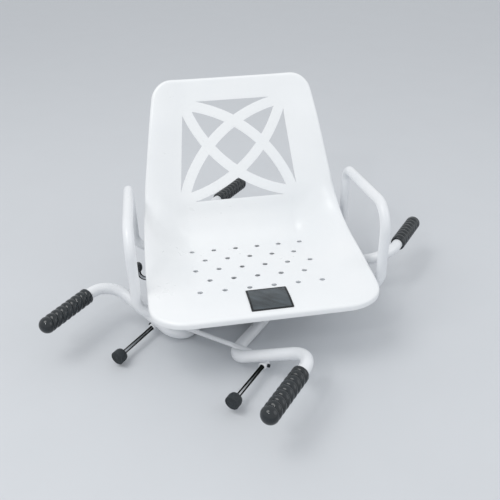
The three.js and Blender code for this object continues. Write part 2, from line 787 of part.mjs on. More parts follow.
// Seat surface: each station pairs a place on the centre line with the place on the edge beside it.
// Shares are of the seat's front reach, its back height above the grips' axes and its half width.
const centreShares = [
  [1, 0.142], [0.829, 0.1413], [0.556, 0.1186], [0.185, 0.0883], [-0.139, 0.0622], [-0.344, 0.052],
  [-0.477, 0.09], [-0.561, 0.182], [-0.606, 0.3], [-0.693, 0.459], [-0.778, 0.612], [-0.861, 0.765],
  [-0.926, 0.878], [-0.988, 0.99],
];
const edgeShares = [
  [1, 0.972, 0.142], [0.829, 0.992, 0.147], [0.532, 1.0, 0.158], [0.205, 1.003, 0.17],
  [-0.07, 1, 0.184], [-0.276, 0.992, 0.22], [-0.407, 0.979, 0.272], [-0.5, 0.96, 0.34],
  [-0.574, 0.939, 0.422], [-0.638, 0.908, 0.526], [-0.704, 0.874, 0.642], [-0.787, 0.834, 0.774],
  [-0.871, 0.797, 0.884], [-0.949, 0.751, 1],
];
const centreLine = new THREE.CatmullRomCurve3(centreShares.map(([reach, height]) => (
  point(0, -reach * seatFront, gripAxisHeight + height * seatBackHeight)
)), false, "centripetal");
const edgeLine = new THREE.CatmullRomCurve3(edgeShares.map(([reach, width, height]) => (
  point((width * seatWidth) / 2, -reach * seatFront, gripAxisHeight + height * seatBackHeight)
)), false, "centripetal");

const surfaceNudgeShare = 0.002;
const flatEndShare = 0.45;
const searchSteps = 30;

// A place on the seat's upper surface: along is the share from the front edge to the top edge
function seatSurface(along, x) {
  const centre = centreLine.getPoint(along);
  const edge = edgeLine.getPoint(along);
  const rise = THREE.MathUtils.smoothstep(Math.abs(x) / edge.x, seatFlatShare, 1);
  return point(x, centre.y + (edge.y - centre.y) * rise, centre.z + (edge.z - centre.z) * rise);
}

function seatNormal(along, x) {
  const reach = surfaceNudgeShare * seatWidth;
  const low = Math.max(0, along - surfaceNudgeShare);
  const high = Math.min(1, along + surfaceNudgeShare);
  const lengthwise = new THREE.Vector3().subVectors(seatSurface(high, x), seatSurface(low, x));
  const crosswise = seatSurface(along, x + reach).sub(seatSurface(along, x - reach));
  return new THREE.Vector3().crossVectors(crosswise, lengthwise).normalize();
}

// The share along the seat where its centre line reaches a given place, front positive
function alongAtReach(reach) {
  let low = 0;
  let high = flatEndShare;
  for (let k = 0; k < searchSteps; k += 1) {
    const middle = (low + high) / 2;
    if (-centreLine.getPoint(middle).y > reach) {
      low = middle;
    } else {
      high = middle;
    }
  }
  return low;
}

// How far a round corner takes the edge in, at a distance from the end of the seat
function cornerInset(distance, radius) {
  const left = Math.max(0, radius - distance);
  return radius - Math.sqrt(radius * radius - left * left);
}

const cornerSteps = 4;
const cornerSampleShare = 0.1;
const bodyRowShares = [
  0.12, 0.17, 0.22, 0.27, 0.315, 0.36, 0.4, 0.435, 0.47, 0.505, 0.54, 0.58, 0.63, 0.69, 0.76, 0.83,
];
const columnShares = [-1, -0.93, -0.85, -0.76, -0.66, -0.54, -0.3, 0, 0.3, 0.54, 0.66, 0.76, 0.85, 0.93, 1];

// Rows along the seat, closer together where the corners are rounded
function seatRows() {
  const rows = [];
  const frontSample = edgeLine.getPoint(0).distanceTo(edgeLine.getPoint(cornerSampleShare));
  const topSample = edgeLine.getPoint(1).distanceTo(edgeLine.getPoint(1 - cornerSampleShare));
  const frontSpan = (cornerSampleShare * frontCornerRadius) / frontSample;
  const topSpan = (cornerSampleShare * topCornerRadius) / topSample;
  for (let k = 0; k < cornerSteps; k += 1) {
    const share = 1 - Math.cos((Math.PI * k) / (2 * cornerSteps));
    rows.push({
      along: share * frontSpan,
      inset: cornerInset(share * frontCornerRadius, frontCornerRadius),
    });
  }
  for (const share of bodyRowShares) {
    rows.push({ along: share, inset: 0 });
  }
  for (let k = cornerSteps; k >= 0; k -= 1) {
    const share = 1 - Math.cos((Math.PI * k) / (2 * cornerSteps));
    rows.push({
      along: 1 - share * topSpan,
      inset: cornerInset(share * topCornerRadius, topCornerRadius),
    });
  }
  return rows;
}

// The shell is an upper grid, a lower grid and the rings of the lip that join their borders
function seatShell() {
  const rows = seatRows();
  const columns = columnShares.length;
  const places = [];
  const faces = [];
  const border = [];
  const last = rows.length - 1;
  rows.forEach(({ along, inset }, row) => {
    const half = edgeLine.getPoint(along).x - inset;
    columnShares.forEach((share) => {
      places.push({ along, x: share * half, row });
    });
  });
  const indexOf = (row, column) => row * columns + column;
  for (let column = 0; column < columns; column += 1) {
    border.push(indexOf(0, column));
  }
  for (let row = 1; row <= last; row += 1) {
    border.push(indexOf(row, columns - 1));
  }
  for (let column = columns - 2; column >= 0; column -= 1) {
    border.push(indexOf(last, column));
  }
  for (let row = last - 1; row > 0; row -= 1) {
    border.push(indexOf(row, 0));
  }
  const upper = places.map(({ along, x }) => seatSurface(along, x));
  const normals = places.map(({ along, x }) => seatNormal(along, x));
  const count = border.length;
  const outwards = border.map((index, k) => {
    const before = upper[border[(k + count - 1) % count]];
    const after = upper[border[(k + 1) % count]];
    return new THREE.Vector3().subVectors(after, before).cross(normals[index]).normalize();
  });
  const lipPlace = (k, out, down) => {
    const index = border[k];
    return upper[index].clone().addScaledVector(outwards[k], out).addScaledVector(normals[index], -down);
  };
  const lower = upper.map((place, index) => place.clone().addScaledVector(normals[index], -seatThickness));
  const lipRings = [
    ...seatLipShares.map(([out, down]) => [seatLipReach * out, seatLipReach * down]),
    [seatLipReach, seatLipHeight],
    [seatLipReach - seatLipWall, seatLipHeight],
    [seatLipReach - seatLipWall, seatThickness],
  ];
  const points = [...upper];
  const lowerStart = points.length;
  points.push(...lower);
  let ringBefore = border;
  for (const [out, down] of lipRings) {
    const ring = border.map((_, k) => points.push(lipPlace(k, out, down)) - 1);
    for (let k = 0; k < count; k += 1) {
      const next = (k + 1) % count;
      faces.push(ringBefore[k], ring[k], ring[next], ringBefore[k], ring[next], ringBefore[next]);
    }
    ringBefore = ring;
  }
  border.forEach((index, k) => {
    points[lowerStart + index] = points[ringBefore[k]].clone();
  });
  for (let row = 0; row < last; row += 1) {
    for (let column = 0; column < columns - 1; column += 1) {
      const corners = [[0, 0], [0, 1], [1, 1], [1, 0]].map(([r, c]) => indexOf(row + r, column + c));
      const [a, b, c, d] = corners;
      faces.push(a, b, c, a, c, d);
      faces.push(lowerStart + a, lowerStart + c, lowerStart + b);
      faces.push(lowerStart + a, lowerStart + d, lowerStart + c);
    }
  }
  const geometry = new THREE.BufferGeometry();
  const numbers = points.flatMap((p) => [p.x, p.y, p.z]);
  geometry.setAttribute("position", new THREE.Float32BufferAttribute(numbers, 3));
  geometry.setIndex(faces);
  return geometry;
}

// The window's cutter is built flat, with the lattice bars taken out of it, and then leant back
function windowCutters() {
  const halfTop = windowTopWidth / 2;
  const halfBottom = windowBottomWidth / 2;
  const outline = new THREE.Shape([
    new THREE.Vector2(-halfBottom, windowCornerCut),
    new THREE.Vector2(-halfBottom + windowCornerCut, 0),
    new THREE.Vector2(halfBottom - windowCornerCut, 0),
    new THREE.Vector2(halfBottom, windowCornerCut),
    new THREE.Vector2(halfTop, windowHeight),
    new THREE.Vector2(-halfTop, windowHeight),
  ]);
  const block = solidOf(new THREE.ExtrudeGeometry(outline, { depth: windowCutDepth, bevelEnabled: false }));
  const bars = [upperArc, lowerArc].flatMap((arc) => [-1, 1].map((side) => solidOf(latticeBar(arc, side))));
  const openings = bars.reduce((rest, latticeSolid) => rest.subtract(latticeSolid), block);
  const lean = new THREE.Matrix4()
    .makeTranslation(0, windowDepthBack, gripAxisHeight + windowFoot)
    .multiply(new THREE.Matrix4().makeRotationX(Math.PI / 2 - THREE.MathUtils.degToRad(backRecline)))
    .multiply(new THREE.Matrix4().makeTranslation(0, 0, -windowCutDepth / 2));
  return geometryOf(openings).applyMatrix4(lean);
}

// A round-bent bar of even width from an upper corner of the window to the lower corner across from it
function latticeBar(arc, side) {
  const outer = [];
  const inner = [];
  for (let k = 0; k <= latticeArcSteps; k += 1) {
    const angle = THREE.MathUtils.degToRad(THREE.MathUtils.lerp(arc.from, arc.to, k / latticeArcSteps));
    const heading = new THREE.Vector2(Math.cos(angle), Math.sin(angle));
    const edges = [[outer, arc.radius + latticeBand / 2], [inner, arc.radius - latticeBand / 2]];
    for (const [edge, radius] of edges) {
      edge.push(new THREE.Vector2(side * (arc.across + radius * heading.x), arc.up + radius * heading.y));
    }
  }
  const outline = new THREE.Shape([...outer, ...inner.reverse()]);
  const depth = 2 * windowCutDepth;
  return new THREE.ExtrudeGeometry(outline, { depth, bevelEnabled: false }).translate(0, 0, -depth / 4);
}

// Drain holes in staggered rows across the flat of the seat
function drainHoles() {
  const holes = [];
  for (let row = 0; row < drainRows; row += 1) {
    const inRow = drainLongRow - (row % 2);
    const reach = drainCentre + (row - (drainRows - 1) / 2) * drainPitch;
    const along = alongAtReach(reach);
    for (let k = 0; k < inRow; k += 1) {
      const x = (k - (inRow - 1) / 2) * drainPitch;
      const place = seatSurface(along, x);
      const normal = seatNormal(along, x);
      const from = place.clone().addScaledVector(normal, -2 * seatThickness);
      holes.push(bar(drainHoleDiameter, from, place.addScaledVector(normal, seatThickness), screwSides));
    }
  }
  return holes;
}

const bossFoot = topPlateTop + slipGap;
const bosses = Object.values(seatScrewPlaces).map((place) => {
  const top = seatSurface(alongAtReach(-place.y), place.x).z - seatThickness / 2;
  return uprightBar(seatBossDiameter, place, bossFoot, top, rodSides);
});
const bossPilots = Object.values(seatScrewPlaces).map((place) => (
  uprightBar(holeFor(seatScrewDiameter, slipGap, screwSides), place, bossFoot - cutOverrun,
    bossFoot + seatScrewBite + slipGap, screwSides)
));
const shell = cut(join([seatShell(), ...bosses]), [...drainHoles(), windowCutters(), ...bossPilots]);
addPart(seat, "seat_shell", shell, whiteShell);

for (const [placeName, place] of Object.entries(seatScrewPlaces)) {
  const headTop = topPlateBottom - slipGap;
  const screw = join([
    uprightBar(seatScrewHeadDiameter, place, headTop - seatScrewHeadHeight, headTop, headSides),
    uprightBar(seatScrewDiameter, place, headTop - seatScrewHeadHeight / 2, bossFoot + seatScrewBite,
      screwSides),
  ]);
  addPart(seat, `seat_screw_${placeName}`, screw, steel);
}

// The blank plate follows the seat's upper surface
function labelPlate() {
  const steps = labelSteps;
  const points = [];
  const faces = [];
  for (const height of [slipGap, slipGap + labelThickness]) {
    for (let row = 0; row <= steps; row += 1) {
      const along = alongAtReach(labelCentre + labelLength * (1 / 2 - row / steps));
      for (let column = 0; column <= steps; column += 1) {
        const x = labelOffset + labelWidth * (column / steps - 1 / 2);
        points.push(seatSurface(along, x).addScaledVector(seatNormal(along, x), height));
      }
    }
  }
  const size = steps + 1;
  const layer = size * size;
  const border = [];
  for (let k = 0; k < steps; k += 1) {
    border.push(k);
  }
  for (let k = 0; k < steps; k += 1) {
    border.push(k * size + steps);
  }
  for (let k = steps; k > 0; k -= 1) {
    border.push(steps * size + k);
  }
  for (let k = steps; k > 0; k -= 1) {
    border.push(k * size);
  }
  for (let row = 0; row < steps; row += 1) {
    for (let column = 0; column < steps; column += 1) {
      const a = row * size + column;
      const b = a + 1;
      const c = b + size;
      const d = a + size;
      faces.push(a, c, b, a, d, c);
      faces.push(layer + a, layer + b, layer + c, layer + a, layer + c, layer + d);
    }
  }
  border.forEach((index, k) => {
    const next = border[(k + 1) % border.length];
    faces.push(index, next, layer + next, index, layer + next, layer + index);
  });
  const geometry = new THREE.BufferGeometry();
  const numbers = points.flatMap((p) => [p.x, p.y, p.z]);
  geometry.setAttribute("position", new THREE.Float32BufferAttribute(numbers, 3));
  geometry.setIndex(faces);
  return geometry;
}
addPart(seat, "label_plate", labelPlate(), labelGrey);

export default root;
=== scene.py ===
"""Swivel bath seat: the visible pieces, their finishes and a plain studio.

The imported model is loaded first, and the stop rods, collars, pads and plates take their places from it.
Lengths are in metres, +Z is up, and the origin is on the swivel axis at the height of the bath's rims. The seat
and what turns with it are drawn square, with +X to the sitter's left and -Y to the front, and are then turned
to the angle that they are stored at.
"""

import math

import bpy
from bpy.props import FloatProperty, FloatVectorProperty, IntProperty, PointerProperty
from bpy.types import Operator, Panel, PropertyGroup
from mathutils import Matrix, Vector


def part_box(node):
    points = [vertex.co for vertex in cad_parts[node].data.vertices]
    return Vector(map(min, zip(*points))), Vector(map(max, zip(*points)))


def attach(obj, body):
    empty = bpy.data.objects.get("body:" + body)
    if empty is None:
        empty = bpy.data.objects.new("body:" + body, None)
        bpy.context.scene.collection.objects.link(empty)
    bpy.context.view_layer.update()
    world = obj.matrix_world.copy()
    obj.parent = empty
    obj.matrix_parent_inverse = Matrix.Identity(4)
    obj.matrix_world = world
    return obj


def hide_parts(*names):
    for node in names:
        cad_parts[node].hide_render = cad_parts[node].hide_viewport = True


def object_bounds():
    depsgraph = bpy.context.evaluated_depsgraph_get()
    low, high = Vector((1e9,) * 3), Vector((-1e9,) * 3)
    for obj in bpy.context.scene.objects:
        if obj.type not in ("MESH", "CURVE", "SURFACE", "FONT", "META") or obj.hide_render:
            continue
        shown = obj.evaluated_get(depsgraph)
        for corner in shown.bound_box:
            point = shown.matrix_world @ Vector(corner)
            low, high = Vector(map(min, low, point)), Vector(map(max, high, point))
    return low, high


bl_info = {
    "name": "Swivel Bath Seat",
    "version": (1, 0, 0),
    "blender": (4, 5, 0),
    "location": "View3D > Sidebar > Bath Seat",
    "description": "Dresses a swivel bath seat and sets up a plain studio for it",
    "category": "Add Mesh",
}

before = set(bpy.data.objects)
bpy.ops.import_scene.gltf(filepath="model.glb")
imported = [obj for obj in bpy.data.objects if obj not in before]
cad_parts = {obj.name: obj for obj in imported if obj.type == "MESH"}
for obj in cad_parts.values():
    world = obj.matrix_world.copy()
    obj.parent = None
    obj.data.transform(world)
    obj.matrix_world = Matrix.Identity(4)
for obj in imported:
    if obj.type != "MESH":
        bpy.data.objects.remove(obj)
cad_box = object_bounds()

FULL_TURN = 2 * math.pi
QUARTER_TURN = math.pi / 2
STORED_TURN = math.radians(39.6)
SEAT_TURN = Matrix.Rotation(STORED_TURN, 4, "Z")
GRIP_AXIS = 0.0155
SIDE_TUBE_SPAN = 0.226
SIDE_TUBE_LOW = GRIP_AXIS - 0.079
ENDS = {"near": -1, "far": 1}
SIDES = {"left": -1, "right": 1}
CORNERS = [(f"{end_name}_{side_name}", side, end) for side_name, side in SIDES.items()
           for end_name, end in ENDS.items()]
CAMERA_SPOT = (0.5553, -0.938, 0.7092)
CAMERA_ANGLES = (-30.69, 30.84, 1.284)
CAMERA_LENS = 46.1


# Settings

def length(name, description, default):
    """A length that a user can change."""
    return FloatProperty(name=name, description=description, default=default, min=0.0, precision=4,
                         unit="LENGTH", subtype="DISTANCE")


def colour(name, description, default):
    """A colour that a user can change."""
    return FloatVectorProperty(name=name, description=description, default=default, min=0.0, max=1.0,
                               size=3, subtype="COLOR")


def power(name, description, default):
    """The power of a lamp."""
    return FloatProperty(name=name, description=description, default=default, min=0.0, unit="POWER")


class BathSeatTubes(PropertyGroup):
    """Sizes of the tubes and rods."""
    side_diameter: length("Side tube", "Diameter of the two side tubes", 0.022)
    arm_diameter: length("Armrest tube", "Diameter of the armrest tubes", 0.019)
    bar_diameter: length("Cross bar", "Diameter of the bars that tie the side tubes", 0.009)
    rod_diameter: length("Stop rod", "Diameter of the stop rods and the release lever", 0.008)
    sides: IntProperty(name="Sides", description="Sides that a round tube is drawn with", default=48, min=8)
    bend_steps: IntProperty(name="Bend steps", description="Steps in each bend", default=30, min=2)


class BathSeatGrips(PropertyGroup):
    """Sizes of the grips."""
    diameter: length("Diameter", "Diameter over the ribs", 0.031)
    length: length("Length", "Length with the domed end", 0.119)
    rib_depth: length("Rib depth", "How deep the valleys between the ribs are", 0.0026)
    ribs: IntProperty(name="Ribs", description="How many ribs a grip has", default=8, min=1)
    lean: FloatProperty(name="Lean", description="How far the ribs lean along the grip", default=0.40)


class BathSeatMoulding(PropertyGroup):
    """Sizes of the moulded seat."""
    width: length("Width", "Width between the side edges", 0.402)
    front: length("Front reach", "From the swivel axis to the front edge", 0.216)
    height: length("Back height", "From the grips' axes to the top edge", 0.327)
    thickness: length("Thickness", "Wall of the moulding", 0.005)
    lip_reach: length("Lip reach", "How far the round lip stands out", 0.006)
    lip_height: length("Lip height", "How far the lip hangs down", 0.012)
    hole_diameter: length("Drain hole", "Diameter of the drain holes", 0.0096)
    band: length("Lattice band", "Width of the lattice's curved bands", 0.021)
    edge_round: length("Edge rounding", "Rounding of the cut edges", 0.0012)


class BathSeatColours(PropertyGroup):
    """Colours of the finishes."""
    coat: colour("Tube coat", "White coat of the tubes and plates", (0.80, 0.815, 0.835))
    moulding: colour("Moulding", "Glossy plastic of the seat", (0.86, 0.875, 0.885))
    rubber: colour("Rubber", "Rubber of the grips and pads, and the knob", (0.011, 0.0145, 0.017))
    chrome: colour("Chrome", "Plating of the rods and the lever", (0.62, 0.63, 0.65))
    zinc: colour("Zinc", "Plating of the bolts and the index plate", (0.52, 0.54, 0.56))
    label: colour("Blank plate", "The dark plate near the front edge", (0.024, 0.030, 0.034))
    floor: colour("Floor", "The studio's floor", (0.62, 0.642, 0.670))


class BathSeatStage(PropertyGroup):
    """The studio's lamps."""
    key: power("Key lamp", "Power of the large lamp", 17.6)
    glint: power("Glint lamp", "Power of the small lamp by the camera", 3.0)
    fill: power("Fill lamp", "Power of the lamp across from the large one", 5.6)
    sky: FloatProperty(name="Sky", description="Strength of the light from all round", default=0.78, min=0.0)


class BathSeatSettings(PropertyGroup):
    """All that a user can change."""
    tubes: PointerProperty(type=BathSeatTubes)
    grips: PointerProperty(type=BathSeatGrips)
    moulding: PointerProperty(type=BathSeatMoulding)
    colours: PointerProperty(type=BathSeatColours)
    stage: PointerProperty(type=BathSeatStage)


# Modelling by hand, one step to a function

def begin():
    """Leaves edit mode and lets go of whatever is selected."""
    if bpy.context.mode != "OBJECT":
        bpy.ops.object.mode_set(mode="OBJECT")
    bpy.ops.object.select_all(action="DESELECT")
    bpy.context.scene.tool_settings.mesh_select_mode = (True, False, False)


def take(piece):
    """Selects one piece alone."""
    begin()
    bpy.context.view_layer.objects.active = piece
    piece.select_set(True)


def edit(piece, kind="VERT"):
    """Opens a piece in edit mode with nothing selected."""
    take(piece)
    bpy.ops.object.mode_set(mode="EDIT")
    bpy.ops.mesh.select_mode(type=kind)
    bpy.ops.mesh.select_all(action="DESELECT")


def pick(piece, kind, test):
    """Opens a piece in edit mode with the faces, edges or vertices that pass a test selected."""
    edit(piece, kind)
    bpy.ops.object.mode_set(mode="OBJECT")
    mesh = piece.data
    places = {"VERT": mesh.vertices, "EDGE": mesh.edges, "FACE": mesh.polygons}[kind]
    for place in places:
        place.select = test(place)
    bpy.ops.object.mode_set(mode="EDIT")


def select_all():
    """Selects all of the piece that is open."""
    bpy.ops.mesh.select_all(action="SELECT")


def extrude(by):
    """Extrudes the selection by a vector."""
    bpy.ops.mesh.extrude_region_move(TRANSFORM_OT_translate={"value": tuple(by)})


def tidy(threshold=1e-6):
    """Merges doubles, turns all faces outwards and leaves edit mode."""
    select_all()
    bpy.ops.mesh.remove_doubles(threshold=threshold)
    bpy.ops.mesh.normals_make_consistent(inside=False)
    bpy.ops.object.mode_set(mode="OBJECT")


def place(piece, matrix):
    """Puts a place and a turn into a piece's mesh."""
    take(piece)
    piece.matrix_world = matrix @ piece.matrix_world
    bpy.ops.object.transform_apply()
    return piece


def copy_of(piece, name):
    """A copy with a mesh of its own."""
    twin = piece.copy()
    twin.data = piece.data.copy()
    twin.name = name
    bpy.context.collection.objects.link(twin)
    return twin


def modify(piece, kind, **values):
    """Adds a modifier to a piece and applies it."""
    take(piece)
    bpy.ops.object.modifier_add(type=kind)
    modifier = piece.modifiers[-1]
    for key, value in values.items():
        setattr(modifier, key, value)
    bpy.ops.object.modifier_apply(modifier=modifier.name)
    return piece


def carve(piece, tool, operation="DIFFERENCE"):
    """Cuts a tool out of a piece, or joins it on, and throws the tool away."""
    modify(piece, "BOOLEAN", operation=operation, solver="EXACT", object=tool)
    bpy.data.objects.remove(tool, do_unlink=True)


def added(name, primitive, **values):
    """Adds a primitive, lamp or camera with nothing else selected."""
    begin()
    primitive(**values)
    piece = bpy.context.object
    piece.name = name
    return piece


def drill(piece, start, end, diameter, sides):
    """Cuts a round hole between two places."""
    carve(piece, round_bar("drill", start, end, diameter, 0.0, sides))


def block(name, middle, size):
    """A box with its size in its mesh."""
    piece = added(name, bpy.ops.mesh.primitive_cube_add, size=1, location=middle, scale=size)
    bpy.ops.object.transform_apply()
    return piece


def rise_of(piece, edge):
    """How far an edge runs along Z."""
    first, second = (piece.data.vertices[k].co.z for k in edge.vertices)
    return abs(first - second)


def joined(pieces):
    """Several pieces made one without cutting."""
    begin()
    for piece in pieces:
        piece.select_set(True)
    bpy.context.view_layer.objects.active = pieces[0]
    bpy.ops.object.join()
    return pieces[0]


def softened(outline, radius, steps=4):
    """Rounds the inner corners of an outline of points."""
    points = [Vector(point) for point in outline]
    most = 0.45
    soft = [points[0]]
    for before, corner, after in zip(points, points[1:], points[2:]):
        back = before - corner
        ahead = after - corner
        reach = min(radius, back.length * most, ahead.length * most)
        start = corner + back.normalized() * reach
        end = corner + ahead.normalized() * reach
        for k in range(steps + 1):
            share = k / steps
            soft.append(start.lerp(corner, share).lerp(corner.lerp(end, share), share))
    soft.append(points[-1])
    return soft


def fill_ends():
    """Closes the open ends of a tube or of a part turn."""
    select_all()
    bpy.ops.mesh.fill_holes(sides=0)


def spun(name, outline, steps, angle=FULL_TURN):
    """Draws an outline of (radius, height) points edge by edge and spins it about Z."""
    piece = added(name, bpy.ops.mesh.primitive_plane_add, size=0.01)
    bpy.ops.object.mode_set(mode="EDIT")
    select_all()
    bpy.ops.mesh.merge(type="CENTER")
    bpy.ops.transform.translate(value=(outline[0][0], 0, outline[0][1]))
    for before, after in zip(outline, outline[1:]):
        extrude((after[0] - before[0], 0, after[1] - before[1]))
    select_all()
    bpy.ops.mesh.spin(steps=steps, angle=angle, center=(0, 0, 0), axis=(0, 0, -1), use_auto_merge=True)
    select_all()
    bpy.ops.mesh.remove_doubles(threshold=1e-6)
    if angle < FULL_TURN:
        fill_ends()
    tidy()
    return piece


def sleeve(bore, outer, low, high):
    """The outline of a ring, from the middle of its bore and back to it."""
    middle = (low + high) / 2
    return [(bore, middle), (bore, low), (outer, low), (outer, high), (bore, high), (bore, middle)]


def towards(start, direction):
    """A matrix that takes +Z to a direction and the origin to a place."""
    return Matrix.Translation(start) @ Vector(direction).to_track_quat("Z", "Y").to_matrix().to_4x4()


def round_bar(name, start, end, diameter, edge, sides):
    """A round bar between two places with eased ends."""
    start, end = Vector(start), Vector(end)
    radius = diameter / 2
    reach = (end - start).length
    piece = spun(name, softened([(0, 0), (radius, 0), (radius, reach), (0, reach)], edge, 3), sides)
    return place(piece, towards(start, end - start))


def bent_tube(name, corners, bends, diameter, tubes):
    """Extrudes a circle along the straight lengths and spins it round each bend."""
    corners = [Vector(corner) for corner in corners]
    heading = (corners[1] - corners[0]).normalized()
    piece = added(name, bpy.ops.mesh.primitive_circle_add, vertices=tubes.sides, radius=diameter / 2,
                  fill_type="NOTHING")
    place(piece, towards(corners[0], heading))
    bpy.ops.object.mode_set(mode="EDIT")
    select_all()
    here = corners[0].copy()
    for corner, after, bend in zip(corners[1:], corners[2:], bends):
        onward = (after - corner).normalized()
        turn = heading.angle(onward)
        axis = heading.cross(onward).normalized()
        start = corner - heading * bend * math.tan(turn / 2)
        centre = start + axis.cross(heading) * bend
        extrude(start - here)
        bpy.ops.mesh.spin(steps=tubes.bend_steps, angle=turn, center=centre, axis=-axis)
        here = corner + onward * bend * math.tan(turn / 2)
        heading = onward
    extrude(corners[-1] - here)
    fill_ends()
    tidy()
    return piece


def dress(piece, body, look, *nodes, angle=35):
    """Shades a finished piece, gives it its finish and seats it on its body."""
    take(piece)
    bpy.ops.object.transform_apply()
    bpy.ops.object.shade_smooth_by_angle(angle=math.radians(angle))
    piece.data.name = piece.name
    if not piece.data.materials:
        piece.data.materials.append(finish(look))
    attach(piece, body)
    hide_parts(*nodes)


# Finishes

def feed(tree, socket, value):
    """Gives a socket a plain value or another node's output."""
    if isinstance(value, bpy.types.NodeSocket):
        tree.links.new(value, socket)
    else:
        socket.default_value = value


def shader_node(tree, kind, **inputs):
    """A new node with its inputs fed; an underscore stands for a space in an input's name."""
    node = tree.nodes.new(f"ShaderNode{kind}")
    for label, value in inputs.items():
        feed(tree, node.inputs[label.replace("_", " ")], value)
    return node


def noise(tree, vector, scale, detail, rough=0.55):
    """A noise texture."""
    node = shader_node(tree, "TexNoise", Vector=vector, Scale=scale, Detail=detail, Roughness=rough)
    return node.outputs["Fac"]


def math_node(tree, operation, first, second=0.5):
    """One sum."""
    node = tree.nodes.new("ShaderNodeMath")
    node.operation = operation
    feed(tree, node.inputs[0], first)
    feed(tree, node.inputs[1], second)
    return node.outputs[0]


def map_range(tree, value, low, high, to_low=0.0, to_high=1.0):
    """Takes a value from one range to another."""
    node = shader_node(tree, "MapRange", Value=value, From_Min=low, From_Max=high, To_Min=to_low,
                       To_Max=to_high)
    return node.outputs["Result"]


def mixed(tree, factor, first, second, kind="RGBA"):
    """Mixes two colours, or with kind FLOAT two numbers, by a mask."""
    node = tree.nodes.new("ShaderNodeMix")
    node.data_type = kind
    first_socket, output = {"RGBA": (6, 2), "FLOAT": (2, 0)}[kind]
    for k, value in ((0, factor), (first_socket, first), (first_socket + 1, second)):
        feed(tree, node.inputs[k], value)
    return node.outputs[output]


SOCKET_KINDS = {float: "NodeSocketFloat", tuple: "NodeSocketColor", type(None): "NodeSocketVector"}


def group(name, output, output_kind, **inputs):
    """An empty shader group and its two ends. An input is a number, a colour or, with None, a vector."""
    tree = bpy.data.node_groups.new(name, "ShaderNodeTree")
    for label, value in inputs.items():
        socket = tree.interface.new_socket(label, in_out="INPUT", socket_type=SOCKET_KINDS[type(value)])
        if value is not None:
            socket.default_value = value
    tree.interface.new_socket(output, in_out="OUTPUT", socket_type=output_kind)
    start, end = tree.nodes.new("NodeGroupInput"), tree.nodes.new("NodeGroupOutput")
    return tree, start.outputs, end.inputs[output]


def colour_drift_group():
    """Broad soft changes of tint, with fine specks of grime on top."""
    tree, given, result = group("Colour Drift", "Color", "NodeSocketColor", Vector=None, Clean=(1, 1, 1, 1),
                                Shaded=(1, 1, 1, 1), Speck=(0.3, 0.3, 0.3, 1), Scale=12.0, Specks=0.2)
    broad = map_range(tree, noise(tree, given["Vector"], given["Scale"], 4.0), 0.35, 0.68)
    fine = noise(tree, given["Vector"], math_node(tree, "MULTIPLY", given["Scale"], 38.0), 2.0)
    fine = map_range(tree, fine, 0.66, 0.78, 0.0, given["Specks"])
    drifted = mixed(tree, broad, given["Clean"], given["Shaded"])
    feed(tree, result, mixed(tree, fine, drifted, given["Speck"]))
    return tree


def smudge_group():
    """Roughness that drifts where hands and water have been, with streaks through it."""
    tree, given, result = group("Smudges", "Roughness", "NodeSocketFloat", Vector=None, Scale=20.0,
                                Smooth=0.2, Rough=0.4)
    broad = noise(tree, given["Vector"], given["Scale"], 5.0, 0.65)
    streak = noise(tree, given["Vector"], math_node(tree, "MULTIPLY", given["Scale"], 9.0), 2.0)
    streak = math_node(tree, "MULTIPLY", streak, 0.3)
    both = math_node(tree, "ADD", math_node(tree, "MULTIPLY", broad, 0.7), streak)
    feed(tree, result, map_range(tree, both, 0.35, 0.65, given["Smooth"], given["Rough"]))
    return tree


def grain_group():
    """Height of a fine surface grain over a broader waviness."""
    tree, given, result = group("Surface Grain", "Height", "NodeSocketFloat", Vector=None, Scale=900.0,
                                Waviness=0.3)
    fine = noise(tree, given["Vector"], given["Scale"], 2.0)
    broad = noise(tree, given["Vector"], math_node(tree, "MULTIPLY", given["Scale"], 0.12), 2.0)
    feed(tree, result, math_node(tree, "ADD", fine, math_node(tree, "MULTIPLY", broad, given["Waviness"])))
    return tree


GROUP_MAKERS = {"Colour Drift": colour_drift_group, "Smudges": smudge_group, "Surface Grain": grain_group}


def opaque(rgb):
    """A colour with full alpha."""
    return (*rgb, 1.0)


def tinted(rgb, factor, warm=0.0):
    """A colour made darker or lighter, and a little warmer or cooler."""
    red, green, blue = rgb
    return min(1, red * factor * (1 + warm)), min(1, green * factor), min(1, blue * factor * (1 - warm))


def glossy_ends(tree, shader, vector):
    """The grips' smooth domes are glossier than their ribs: the ends lie furthest across the bath."""
    ribs_end, dome_start, smoother = 0.333, 0.338, 0.3
    roughness = shader.inputs["Roughness"].links[0].from_socket
    reach = math_node(tree, "ABSOLUTE", shader_node(tree, "SeparateXYZ", Vector=vector).outputs["Y"])
    dome = map_range(tree, reach, ribs_end, dome_start)
    lowered = math_node(tree, "MULTIPLY", roughness, smoother)
    feed(tree, shader.inputs["Roughness"], mixed(tree, dome, roughness, lowered, "FLOAT"))


def painted_edge_reflection(tree, shader, _):
    """Paints a dark reflection into a mirror's colour and specular tint towards its turned-away edges, as dark
    surroundings reflect in a round rod.
    """
    bright_until, dark_from, dark = 0.13, 0.27, (0.02, 0.022, 0.02)
    bright = shader.inputs["Base Color"].links[0].from_socket
    weight = shader_node(tree, "LayerWeight", Blend=0.5)
    edge = map_range(tree, weight.outputs["Facing"], bright_until, dark_from)
    # Painted reflection: colour and specular tint go dark towards the rod's edges
    shade = mixed(tree, edge, bright, opaque(dark))
    feed(tree, shader.inputs["Base Color"], shade)
    feed(tree, shader.inputs["Specular Tint"], shade)


